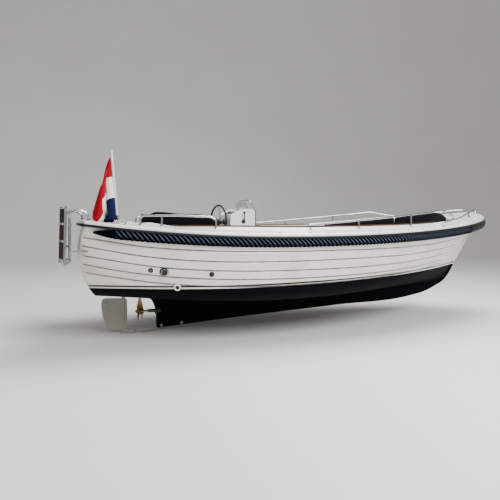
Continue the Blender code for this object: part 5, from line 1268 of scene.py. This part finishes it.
def build_windscreen():
    """A thin leaning sheet with rounded upper corners, three clips, and the grab hoop round it."""
    y0, y1, aft, fore = 0.335, 0.765, 2.02, 2.0258
    rings = []
    for y, cut in ((y0, 0.03), (y0 + 0.006, 0.012), (y0 + 0.016, 0.003), (y0 + 0.03, 0.0), (0.5 * (y0 + y1), 0.0),
                   (y1 - 0.03, 0.0), (y1 - 0.016, 0.003), (y1 - 0.006, 0.012), (y1, 0.03)):
        top = SCREEN_HIGH - cut
        lean = 0.022 * (top - SCREEN_LOW) / 0.0975
        rings.append([(aft, y, SCREEN_LOW), (fore, y, SCREEN_LOW), (fore - lean, y, top), (aft - lean, y, top)])
    loft("screen_sheet", rings, CLEAR, replaces=("windscreen",), sharp=40.0)
    clips = [block("screen_clip", (2.011, y - 0.014, 0.8284), (2.034, y + 0.014, 0.842), BLACK, 0.003)
             for y in (0.4, 0.55, 0.7)]
    joined("screen_clips", clips)
    corners = [(2.0999, y0, 0.56), (2.126, y0, 0.56), (2.126, y0, 0.8), (2.045, y0 + 0.01, 0.948),
               (2.045, y1 - 0.01, 0.948), (2.126, y1, 0.8), (2.126, y1, 0.56), (2.0999, y1, 0.56)]
    parts = [tube("hoop_tube", bend(corners, (0.018, 0.09, 0.045, 0.045, 0.09, 0.018), 10), 0.011, STEEL, 22)]
    for y in (y0, y1):
        parts.append(turned("hoop_foot", (2.099, y, 0.56), (1, 0, 0), ((0, 0.02), (0.003, 0.02), (0.005, 0.016)),
                            STEEL, 28))
    joined("hoop_tube", parts, "console_hoop")


def build_helm():
    """A ring with a finger-gripped rim, a lathed hub and cap, three flat spokes, and the boss behind them."""
    turned_in, radius = radians(12.0), 0.205
    axis = np.array([cos(turned_in), sin(turned_in), 0.0])
    side, up = np.array([-axis[1], axis[0], 0.0]), np.array([0, 0, 1.0])
    centre = np.array([1.69, 0.5, 0.672])
    turn, around = circle(96)[:, None], circle(20)[None, :]
    out = side * np.cos(turn)[..., None] + up * np.sin(turn)[..., None]
    grip = 0.0125 + 0.0006 * np.cos(24 * turn)
    rim = centre + out * (radius + grip * np.cos(around))[..., None] + axis * (grip * np.sin(around))[..., None]
    loft("wheel_rim", rim, BLACK, caps=False, loop=True, body="wheel", replaces=("steering_wheel",))
    turned("wheel_hub", centre, axis,
           ((-0.01, 0.006), (-0.008, 0.018), (-0.004, 0.027), (0.002, 0.033), (0.048, 0.034), (0.054, 0.03),
            (0.0555, 0.01), (0.0745, 0.01)), BLACK, 36, body="wheel")
    spokes = []
    for degrees in (90, 210, 330):
        d = side * cos(radians(degrees)) + up * sin(radians(degrees))
        w = np.cross(axis, d)
        path = [centre + d * r + axis * s for r, s in (
            (0.02, 0.026), (0.06, 0.026), (0.11, 0.019), (0.16, 0.008), (0.198, 0.001))]
        rings = []
        for point, wide, thick in zip(smooth_run(path, 16), np.linspace(0.019, 0.0095, 16),
                                      np.linspace(0.006, 0.0045, 16)):
            a = circle(16)[:, None]
            rings.append(point + np.cos(a) * w * wide + np.sin(a) * axis * thick)
        spokes.append(loft("wheel_spoke", rings, STEEL, body="wheel"))
    joined("wheel_spokes", spokes)
    turned("wheel_cap", centre - axis * 0.0105, -axis,
           ((-0.004, 0.02), (0.0, 0.019), (0.002, 0.015), (0.003, 0.004)), STEEL, 30, body="wheel")
    turned("helm_boss", centre + axis * 0.056, axis,
           ((0.0035, 0.0108), (0.0035, 0.02), (0.008, 0.03), (0.022, 0.036), (0.043, 0.045), (0.0535, 0.046)),
           BLACK, 40, replaces=("helm_bezel",))


def build_lever():
    """Engine lever at rest: a round base, a bent arm and a knob."""
    y = 0.3
    turned("lever_base", (1.955, y - 0.0004, 0.678), (0, -1, 0),
           ((0, 0.026), (0.004, 0.026), (0.009, 0.023), (0.011, 0.018), (0.024, 0.015), (0.028, 0.011)), BLACK,
           34, replaces=("throttle",))
    arm = smooth_run([(1.955, y - 0.02, 0.672), (1.955, y - 0.03, 0.695), (1.955, y - 0.034, 0.735),
                      (1.955, y - 0.034, 0.782)], 14)
    tube("lever_arm", arm, np.linspace(0.0078, 0.005, 14), BLACK, 16)
    turned("lever_knob", (1.955, y - 0.034, 0.776), (0, 0, 1),
           ((0, 0.0065), (0.003, 0.0105), (0.012, 0.0145), (0.021, 0.014), (0.028, 0.0085), (0.03, 0.003)), BLACK,
           28)


def build_engine_box():
    """A cover with an inside: lining rings upward, then the outer rings upward with a groove under the lid."""
    x0, x1, half, wall = 1.45, 2.08, 0.232, 0.014
    outer, inner = [[[(a, -c, z), (b, -c, z), (b, c, z), (a, c, z)] for z, a, b, c in (
        (z, x0 + inward, x1 - inward, half - inward) for z, inward in rows)] for rows in (
            ((SOLE_TOP, 0.0), (0.355, 0.0), (0.357, 0.003), (0.361, 0.003), (0.363, 0.0), (0.388, 0.0),
             (0.3955, 0.003), (0.399, 0.009), (0.4, 0.02)),
            ((0.384, wall), (SOLE_TOP, wall)))]
    rings = np.concatenate([soften(inner, wall, 2), soften(outer, 0.022, 2)])
    loft("engine_box_cover", rings, WHITE, body="engine_box", replaces=("engine_box",), sharp=40.0)
    louvres = []
    for k in range(5):
        z = 0.15 + 0.026 * k
        for y in (-0.2345, 0.2315):
            louvres.append(block("vent", (1.6, y, z), (1.93, y + 0.003, z + 0.013), BLACK, 0.001,
                                 body="engine_box"))
    joined("engine_box_vents", louvres)
    turned("lid_pull", (1.52, 0.0, 0.3994), (0, 0, 1),
           ((0, 0.026), (0.0012, 0.026), (0.0022, 0.023), (0.001, 0.019)), STEEL, 36, body="engine_box")


# Stern gear and ladder
def foil_section(share):
    """Half thickness over the chord: thin at the edges, full from a quarter to three quarters."""
    return through(np.abs(share), (0.0, 0.2, 0.35, 0.45, 0.5), (1.0, 0.96, 0.72, 0.42, 0.2))


def build_propeller():
    """Three blades: each radius has its own pitch angle and chord, the chord an ellipse about 85 mm out."""
    z0, parts = -0.322, []
    r = np.linspace(0.02, 0.1475, 30)[:, None]
    c = 0.5 * np.sin(np.linspace(-pi / 2, pi / 2, 33))[None, :]
    pitch = np.arctan2(0.23, 2 * pi * r)
    chord = np.maximum(0.118 * np.sqrt(np.clip(1 - ((r - 0.085) / 0.0655) ** 2, 0.0, 1)), 0.012)
    chord = np.where(r < 0.062, np.maximum(chord, 0.056 + 0.35 * np.clip(r - 0.02, 0, 0.04)), chord)
    thick = 0.01 - 0.045 * r
    for number in range(3):
        turn = number * 2 * pi / 3 + 0.2
        faces = []
        for sign in (1, -1):
            shift = sign * thick * foil_section(c) * 0.5
            a = turn + c * chord * np.cos(pitch) / r + shift * np.sin(pitch) / r
            x = 0.65 - c * chord * np.sin(pitch) + shift * np.cos(pitch)
            faces.append(np.stack(np.broadcast_arrays(x, r * np.sin(a), z0 + r * np.cos(a)), -1))
        parts.append(plate("blade", faces[0], faces[1], BRONZE, body="propeller"))
    hub = ((-0.042, 0.003), (-0.041, 0.008), (-0.035, 0.011), (-0.0345, 0.0175), (-0.024, 0.0185),
           (-0.023, 0.0215), (-0.018, 0.025), (0.0, 0.0265), (0.045, 0.029), (0.049, 0.0275), (0.05, 0.024))
    parts.insert(0, turned("screw_bronze", (0.64, 0, z0), (1, 0, 0), hub, BRONZE, 40, body="propeller",
                           replaces=("propeller",)))
    joined("screw_bronze", parts)
    tube("screw_shaft", [(0.68, 0, z0), (0.85, 0, z0)], 0.0124, STEEL, 24, body="propeller")
    tube_profile = ((0.06, 0.0131), (0.0, 0.0131), (0.0, 0.0168), (0.002, 0.0188), (0.072, 0.0196),
                    (0.078, 0.0225), (0.081, 0.042), (0.083, 0.0438), (0.089, 0.0438), (0.091, 0.042),
                    (0.1645, 0.023))
    turned("shaft_bearing", (0.735, 0, z0), (1, 0, 0), tube_profile, OLD_BRONZE, 40, replaces=("stern_tube",))


def build_rudder():
    """A plate from its side view with rounded edges, its stock, zincs, and the heel strap swept under it."""
    outline = np.array(((0.514, -0.172), (0.29, -0.164), (0.262, -0.17), (0.245, -0.195), (0.243, -0.24),
                        (0.247, -0.3), (0.262, -0.375), (0.284, -0.44), (0.316, -0.494), (0.34, -0.515),
                        (0.362, -0.521), (0.514, -0.521)))
    ring = soften(np.concatenate([outline, np.zeros((12, 1))], 1)[None], 0.03, 2)[0][:, :2]
    rings = []
    for y, inward in ((-0.006, 0.0072), (-0.006, 0.006), (-0.0052, 0.003), (-0.003, 0.0006), (0.003, 0.0006),
                      (0.0052, 0.003), (0.006, 0.006), (0.006, 0.0072)):
        edge = inset(ring, inward)
        rings.append(np.stack([edge[:, 0], np.full(len(edge), y), edge[:, 1]], 1))
    loft("rudder_plate", rings, PALE_IN_PAINTED_SHADE, body="rudder", replaces=("rudder",), sharp=25.0)
    stock = ((-0.549, 0.0145), (-0.5485, 0.0158), (-0.535, 0.016), (-0.53, 0.016), (-0.5, 0.016), (-0.16, 0.016),
             (-0.061, 0.016))
    turned("rudder_stock", (0.475, 0, 0), (0, 0, 1), stock, PALE_IN_PAINTED_SHADE, 36, body="rudder")
    zincs = []
    for side in (-1, 1):
        zincs.append(turned("rudder_zinc", (0.293, side * 0.0055, -0.225), (0, side, 0),
                            ((0, 0.02), (0.004, 0.0197), (0.008, 0.016), (0.0095, 0.01), (0.0095, 0.0065)), ZINC,
                            34, body="rudder"))
        zincs.append(turned("bolt", (0.293, side * 0.0142, -0.225), (0, side, 0),
                            ((0, 0.0062), (0.003, 0.006), (0.004, 0.004)), STEEL, 6, body="rudder"))
    joined("rudder_zinc", zincs)
    line = smooth_run(((1.02, -0.4972), (0.838, -0.5108), (0.7, -0.531), (0.6, -0.5345), (0.44, -0.5345)), 60)
    half = through(-line[:, 0], (-1.02, -0.75, -0.62, -0.44),
                   (0.0235, 0.024, 0.03, 0.03)) * np.clip((line[:, 0] - 0.43) / 0.02, 0.6, 1)
    rings = np.stack([np.stack([line[:, 0], s * half, line[:, 1] - 0.0003 - d], 1)
                      for s, d in ((-1, 0), (1, 0), (1, 0.013), (-1, 0.013))], 1)
    loft("heel_strap", soften(rings, 0.004, 2), PALE_IN_PAINTED_SHADE, replaces=("heel_bar",), sharp=50.0)
    bolts = [turned("heel_nut", (0.6, 0.0, -0.5345), (0, 0, 1),
                    ((-0.001, 0.014), (0.006, 0.014), (0.01, 0.009), (0.011, 0.004)), STEEL, 6)]
    bolts += [turned("strap_bolt", (x, 0.0, z), (0.06, 0, -1), ((0, 0.0085), (0.0012, 0.008), (0.002, 0.004)),
                     STEEL, 18)
              for x, z in ((0.99, -0.514), (0.93, -0.5187), (0.87, -0.523))]
    joined("strap_bolts", bolts)


def ladder_at(across, out, z):
    """A point of the ladder's plane, which is turned 9 degrees with the transom's corner."""
    a = radians(9.0)
    x, y = np.array([-0.065, -0.76]) + np.array([-sin(a), cos(a)]) * across - np.array([cos(a), sin(a)]) * out
    return (x, y, z)


def build_ladder():
    """Two arched tubes with bars, lugs and a stay, the folding side bars on their pin, and three treads."""
    wide, hinge, deck = 0.28, 0.275, float(sheer_z(0.09)) + RIM
    parts = []
    for across in (0.0, wide):
        corners = [ladder_at(across, -0.163, deck + 0.006), ladder_at(across, -0.155, 0.746),
                   ladder_at(across, 0.0, 0.746), ladder_at(across, 0.0, hinge + 0.012)]
        parts.append(tube("ladder_tubes", bend(corners, (0.073, 0.073), 16), 0.0125, STEEL, 24))
        x, y, _ = ladder_at(across, -0.1634, 0.0)
        parts += base_plate("foot", x, y, 0.026, 0.005)
        parts.append(turned("socket", (x, y, deck + 0.002), (0, 0, 1),
                            ((0, 0.0158), (0.03, 0.0158), (0.034, 0.015)), STEEL, 24))
    for z, reach in ((hinge + 0.03, 0.0215), (0.425, 0.002)):
        parts.append(tube("bar", [ladder_at(-reach, 0, z), ladder_at(wide + reach, 0, z)], 0.0105, STEEL, 20))
    lug = ((-0.01, 0.294), (0.038, 0.262), (0.052, 0.261), (0.059, 0.275), (0.052, 0.289), (-0.006, 0.318))
    for across in (-0.0185, wide + 0.0185):
        rings = np.array([[ladder_at(across + h, out, z) for out, z in lug] for h in (-0.003, 0.003)])
        parts.append(loft("lug", soften(rings, 0.006, 2), STEEL, sharp=50.0))
    end, outward = planking(0.082, 0.381, -1)
    stay = [np.array(ladder_at(0.0, 0.0, 0.385)), end + outward * 0.006]
    parts.append(tube("stay", stay, 0.007, STEEL, 16))
    parts.append(tube("sleeve", [stay[1] + (stay[0] - stay[1]) * 0.22, stay[1] + (stay[0] - stay[1]) * 0.02],
                      0.0105, STEEL, 18))
    parts.append(turned("stay_bolt", end, outward,
                        ((-0.003, 0.019), (0.006, 0.019), (0.01, 0.015), (0.011, 0.004)), BLACK, 24))
    joined("ladder_tubes", parts, "ladder_frame")
    parts = []
    for across in (0.0, wide):
        low, high = ladder_at(across, 0.045, hinge - 0.008), ladder_at(across, 0.03, 0.775)
        parts.append(tube("step_sides", [low, high], 0.0115, STEEL, 22, body="ladder_steps"))
        parts.append(turned("plug", np.array(high) - (0, 0, 0.001), np.array(high) - np.array(low),
                            ((0, 0.0118), (0.004, 0.0118), (0.007, 0.008), (0.0078, 0.003)), BLACK, 22,
                            body="ladder_steps"))
    parts.append(tube("pin", [ladder_at(-0.026, 0.045, hinge), ladder_at(wide + 0.026, 0.045, hinge)], 0.0059,
                      STEEL, 16, body="ladder_steps"))
    joined("step_sides", parts, "ladder_steps")
    treads = []
    for z, tall in ((0.383, 0.076), (0.547, 0.07), (0.7, 0.064)):
        out = 0.045 - 0.015 * (z - hinge) / 0.5
        rings = np.array([[ladder_at(across, out + a - 0.03 * b, z + b)
                           for a, b in ((-0.01, -tall), (0.01, -tall), (0.01, tall), (-0.01, tall))]
                          for across in (0.004, 0.006, wide * 0.5, wide - 0.006, wide - 0.004)])
        treads.append(loft("step_treads", soften(rings, 0.006, 2), TREAD, body="ladder_steps", sharp=50.0))
    joined("step_treads", treads)


# Hull fittings
def planking(x, z, side):
    """A point on the planking at a station and height, and the way out from it."""
    along = float(inner_half(x + 0.01, z) - inner_half(x - 0.01, z)) / 0.02
    slope = float(inner_half(x, z + 0.01) - inner_half(x, z - 0.01)) / 0.02
    return np.array([x, side * (float(inner_half(x, z)) + SKIN + 0.01), z]), np.array([-along, side, -slope])


def build_fittings():
    """Lathed outlets on the planking, the exhaust, studs along the decks, and small pieces at stem and keel."""
    for name, x, z, radius, bore, side, rim, inside, proud in (
            ("outlet_aft", 0.643, 0.204, 0.025, 0.01, -1, BLACK, GREY, 0.005),
            ("outlet_mid", 1.199, 0.166, 0.025, 0.01, -1, BLACK, BLACK, 0.005),
            ("outlet_low", 0.89, 0.038, 0.033, 0.02, -1, PAINT, BLACK, 0.007),
            ("outlet_port", 1.96, 0.15, 0.025, 0.01, 1, BLACK, BLACK, 0.005),
            ("exhaust_flange", 0.762, 0.19, 0.042, 0.031, -1, BLACK, BLACK, 0.005)):
        start, axis = planking(x, z, side)
        start = start + axis * 0.003
        turned(name, start, axis, ((-0.007, radius), (proud * 0.5, radius), (proud, radius * 0.86),
                                   (proud, bore * 1.12), (proud * 0.7, bore), (-0.004, bore)), rim, 30,
               slot="stainless")
        # The plug in the bore is painted shade for the hole's dark inside.
        turned(name + "_bore", start, axis, ((-0.003, bore * 1.02), (0.0026, bore * 1.02)), inside, 24)
    start, axis = np.array([0.762, -0.7, 0.205]), np.array([0.0, -0.205, -0.033])
    axis /= np.linalg.norm(axis)
    exhaust = ((0.105, 0.0275), (0.13, 0.0275), (0.131, 0.0285), (0.131, 0.03), (0.13, 0.0312), (0.128, 0.0314),
               (0.082, 0.0314))
    turned("exhaust_pipe", start, axis, exhaust, STEEL, 36, replaces=("exhaust_outlet",))
    # The black disc in the pipe is painted shade for its dark inside.
    turned("exhaust_dark", start + axis * 0.108, axis, ((0, 0.0277), (0.002, 0.0277)), BLACK, 24)
    studs = []
    for side in (-1, 1):
        for x in np.r_[0.85, 1.2, 1.54, 1.87, np.arange(2.2, 4.4, 0.21)]:
            y = float(fender_half(x)) - 0.052
            studs.append(turned("canopy_studs", (x, side * y, deck_z(x, y)), (0, side * 0.25, 1),
                                ((-0.001, 0.0075), (0.0022, 0.0075), (0.0045, 0.0052), (0.0052, 0.0015)), BLACK,
                                14))
    joined("canopy_studs", studs)
    turned("bow_post", (5.408, 0.0, deck_z(5.408, 0.0) + 0.0005), (0.32, 0, 1.0),
           ((-0.004, 0.02), (0.003, 0.02), (0.005, 0.012), (0.04, 0.0085), (0.047, 0.009), (0.052, 0.0125),
            (0.06, 0.0125), (0.064, 0.006)), STEEL, 28)
    turned("stem_stud", (float(stem_x(0.43)) - 0.002, 0.0, 0.43), (0.9, 0, -0.42),
           ((0, 0.013), (0.003, 0.013), (0.006, 0.01), (0.008, 0.004)), STEEL, 24)
    run = np.array([5.308 - 5.042, 0, 0.559 - 0.167])
    run /= np.linalg.norm(run)
    outward = np.array([run[2], 0, -run[0]])
    middle = np.array([float(stem_x(0.33)), 0.0, 0.33])
    path = [middle + run * a + outward * b for a, b in (
        (0.034, -0.006), (0.034, 0.016), (0.018, 0.034), (-0.018, 0.034), (-0.034, 0.016), (-0.034, -0.006))]
    parts = [tube("stem_eye", bend(path, (0.012, 0.014, 0.014, 0.012), 7), 0.0052, STEEL, 16)]
    for a in (0.034, -0.034):
        parts.append(turned("collar", middle + run * a, outward,
                            ((-0.004, 0.011), (0.002, 0.011), (0.004, 0.008)), STEEL, 20))
    joined("stem_eye", parts, "towing_eye")
    zincs = []
    for x, z in ((0.877, -0.482), (1.106, -0.466)):
        for side in (-1, 1):
            zincs.append(turned("keel_zincs", (x, side * 0.0415, z), (0, side, 0),
                                ((0, 0.018), (0.004, 0.0172), (0.009, 0.0125), (0.0115, 0.005)), ZINC, 24))
    joined("keel_zincs", zincs)
    turned("filler_cap", (0.3, 0.43, deck_z(0.3, 0.43) + 0.0003), (0, 0, 1),
           ((0, 0.042), (0.003, 0.042), (0.005, 0.038), (0.005, 0.029), (0.0062, 0.027), (0.0062, 0.006),
            (0.0048, 0.005)), STEEL, 40)


# Cockpit
def build_cockpit():
    """Finishes on the CAD mouldings that show, and a door in the aft seat's riser."""
    for node, material in (("aft_bench", WHITE), ("bow_bench", WHITE), ("aft_bulkhead", WHITE),
                           ("bow_bulkhead", WHITE), ("cockpit_sole", SOLE), ("engine", ENGINE)):
        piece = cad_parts[node]
        if not piece.material_slots:
            piece.data.materials.append(material)
        for place in piece.material_slots:
            place.material = material
    block("seat_doors", (0.963, -0.2, 0.09), (0.9695, 0.2, 0.3), WHITE, 0.004)


# Stage
def build_stage():
    """Pale floor that curves up behind, a soft sky, three soft lights and the camera."""
    floor_z = CAD_BOX[0][2] - 0.001
    far, wall, rise, curve = 70.0, 9.0, 16.0, 5.0
    profile = [(-far, floor_z), (wall, floor_z)]
    profile += [(wall + curve * sin(t), floor_z + curve * (1 - cos(t)))
                for t in np.linspace(0, pi / 2, 14)[1:]]
    profile.append((wall + curve, floor_z + rise))
    points = np.array([[(x, y, z) for x in (-far, far)] for y, z in profile])
    mesh = bpy.data.meshes.new("floor")
    mesh.from_pydata(points.reshape(-1, 3).tolist(), [], grid_faces(len(profile), 2).tolist())
    mesh.shade_smooth()
    floor = bpy.data.objects.new("floor", mesh)
    bpy.context.scene.collection.objects.link(floor)
    paper = Finish("seamless paper", "#E6E6E4", 0.9)
    paper.stain(paper.noise(0.6), 0.3, 0.7, "#E7E7E5", "#E3E3E1")
    mesh.materials.append(paper.material)
    world = bpy.data.worlds.new("soft sky")
    bpy.context.scene.world = world
    world.use_nodes = True
    sky = world.node_tree.nodes["Background"].inputs
    sky["Color"].default_value, sky["Strength"].default_value = rgb("#EDEBE8"), 0.56
    aim = Vector((0, 0, 0.2))
    for name, place, size, power in (
            ("key", (0.5, -5.2, 3.8), 3.0, 400.0), ("fill", (-7.0, -5.0, 3.0), 4.0, 60.0),
            ("top", (1.4, 0.5, 6.5), 5.0, 820.0)):
        light = bpy.data.lights.new(name, "AREA")
        light.energy, light.size = power, size
        lamp = bpy.data.objects.new(name, light)
        turn = (aim - Vector(place)).to_track_quat("-Z", "Y").to_matrix().to_4x4()
        lamp.matrix_world = Matrix.Translation(place) @ turn
        bpy.context.scene.collection.objects.link(lamp)
    yaw, pitch, roll = (radians(v) for v in (21.0, -3.232, 0.88))
    forward = np.array([sin(yaw) * cos(pitch), cos(yaw) * cos(pitch), sin(pitch)])
    right = np.array([cos(yaw), -sin(yaw), 0.0])
    above = np.cross(right, forward)
    x_axis = right * cos(roll) + above * sin(roll)
    y_axis = above * cos(roll) - right * sin(roll)
    lens = bpy.data.cameras.new("photo_camera")
    lens.sensor_width, lens.lens = 36.0, 33.79
    lens.clip_start, lens.clip_end = 0.05, 200.0
    camera = bpy.data.objects.new("photo_camera", lens)
    turn = Matrix([(x_axis[k], y_axis[k], -forward[k], 0.0) for k in range(3)] + [(0, 0, 0, 1)])
    camera.matrix_world = Matrix.Translation((-2.811, -5.193, 0.656)) @ turn
    bpy.context.scene.collection.objects.link(camera)
    bpy.context.scene.camera = camera


# Add-on
class LaunchSizes(bpy.types.PropertyGroup):
    """Sizes that a user would change."""
    plank_lap: bpy.props.FloatProperty(
        name="Plank lap", description="How far each plank stands off the next", default=0.009, unit="LENGTH")
    rope_lay: bpy.props.FloatProperty(
        name="Rope lay", description="Length of one full turn of the rope fender", default=0.2325, unit="LENGTH")
    rail_radius: bpy.props.FloatProperty(
        name="Rail radius", description="Radius of the side rails' tube", default=0.011, unit="LENGTH")
    welt: bpy.props.FloatProperty(
        name="Welt radius", description="Radius of the cord sewn round the pads", default=0.0034, unit="LENGTH")
    flag_fly: bpy.props.FloatProperty(
        name="Flag fly", description="Length of the flag from the staff", default=0.82, unit="LENGTH")


class LaunchColours(bpy.types.PropertyGroup):
    """Colours that a user would change."""
    topsides: bpy.props.FloatVectorProperty(
        name="Topsides", description="Gelcoat of the hull", default=rgb("#E6E3DB"), size=4, subtype="COLOR")
    bottom: bpy.props.FloatVectorProperty(
        name="Bottom", description="Matt paint under the pin line", default=rgb("#030207"), size=4,
        subtype="COLOR")
    fender: bpy.props.FloatVectorProperty(
        name="Fender", description="Rubber of the flat fender band", default=rgb("#06070E"), size=4,
        subtype="COLOR")
    upholstery: bpy.props.FloatVectorProperty(
        name="Upholstery", description="Cloth of the pads", default=rgb("#05060B"), size=4, subtype="COLOR")


class LAUNCH_OT_hull(bpy.types.Operator):
    """Clinker skin, keel and stem"""
    bl_idname = "launch.hull"
    bl_label = "Hull"

    def execute(self, context):
        build_hull(context.scene.launch_sizes, context.scene.launch_colours)
        return {"FINISHED"}


class LAUNCH_OT_fenders(bpy.types.Operator):
    """Flat band, twisted rolls and the roll round the stem"""
    bl_idname = "launch.fenders"
    bl_label = "Fenders"

    def execute(self, context):
        build_fenders(context.scene.launch_sizes, context.scene.launch_colours)
        return {"FINISHED"}


class LAUNCH_OT_decks(bpy.types.Operator):
    """Stern deck, side decks, foredeck and teak caps"""
    bl_idname = "launch.decks"
    bl_label = "Decks"

    def execute(self, context):
        build_decks()
        return {"FINISHED"}


class LAUNCH_OT_rails(bpy.types.Operator):
    """Handrails, cleats, staff and flag"""
    bl_idname = "launch.rails"
    bl_label = "Rails and flag"

    def execute(self, context):
        build_rails(context.scene.launch_sizes.rail_radius)
        build_cleats()
        build_staff()
        build_flag(context.scene.launch_sizes.flag_fly)
        return {"FINISHED"}


class LAUNCH_OT_soft(bpy.types.Operator):
    """Seat and back pads"""
    bl_idname = "launch.soft"
    bl_label = "Upholstery"

    def execute(self, context):
        build_pads(context.scene.launch_sizes, context.scene.launch_colours)
        return {"FINISHED"}


class LAUNCH_OT_helm(bpy.types.Operator):
    """Console, windscreen, wheel, lever and engine box"""
    bl_idname = "launch.helm"
    bl_label = "Console and helm"

    def execute(self, context):
        build_console()
        build_windscreen()
        build_helm()
        build_lever()
        build_engine_box()
        return {"FINISHED"}


class LAUNCH_OT_stern(bpy.types.Operator):
    """Propeller, rudder, heel strap and ladder"""
    bl_idname = "launch.stern"
    bl_label = "Stern gear and ladder"

    def execute(self, context):
        build_propeller()
        build_rudder()
        build_ladder()
        return {"FINISHED"}


class LAUNCH_OT_fittings(bpy.types.Operator):
    """Outlets, studs, bow post, eye, anodes and cockpit finishes"""
    bl_idname = "launch.fittings"
    bl_label = "Fittings"

    def execute(self, context):
        build_fittings()
        build_cockpit()
        return {"FINISHED"}


class LAUNCH_OT_stage(bpy.types.Operator):
    """Floor, lights and camera"""
    bl_idname = "launch.stage"
    bl_label = "Stage"

    def execute(self, context):
        build_stage()
        return {"FINISHED"}


STEPS = (LAUNCH_OT_hull, LAUNCH_OT_fenders, LAUNCH_OT_decks, LAUNCH_OT_rails, LAUNCH_OT_soft, LAUNCH_OT_helm,
         LAUNCH_OT_stern, LAUNCH_OT_fittings, LAUNCH_OT_stage)


class LAUNCH_PT_panel(bpy.types.Panel):
    """The launch's sizes, colours and steps"""
    bl_idname = "LAUNCH_PT_panel"
    bl_label = "Launch"
    bl_space_type = "VIEW_3D"
    bl_region_type = "UI"
    bl_category = "Launch"

    def draw(self, context):
        for group in (context.scene.launch_sizes, context.scene.launch_colours):
            for name in group.__annotations__:
                self.layout.prop(group, name)
        for step in STEPS:
            self.layout.operator(step.bl_idname)


CLASSES = (LaunchSizes, LaunchColours, *STEPS, LAUNCH_PT_panel)


def register():
    for kind in CLASSES:
        bpy.utils.register_class(kind)
    bpy.types.Scene.launch_sizes = bpy.props.PointerProperty(type=LaunchSizes)
    bpy.types.Scene.launch_colours = bpy.props.PointerProperty(type=LaunchColours)


def unregister():
    del bpy.types.Scene.launch_sizes
    del bpy.types.Scene.launch_colours
    for kind in reversed(CLASSES):
        bpy.utils.unregister_class(kind)


def main():
    register()
    for step in STEPS:
        getattr(bpy.ops.launch, step.bl_idname.split(".")[1])()


if __name__ == "__main__":
    main()
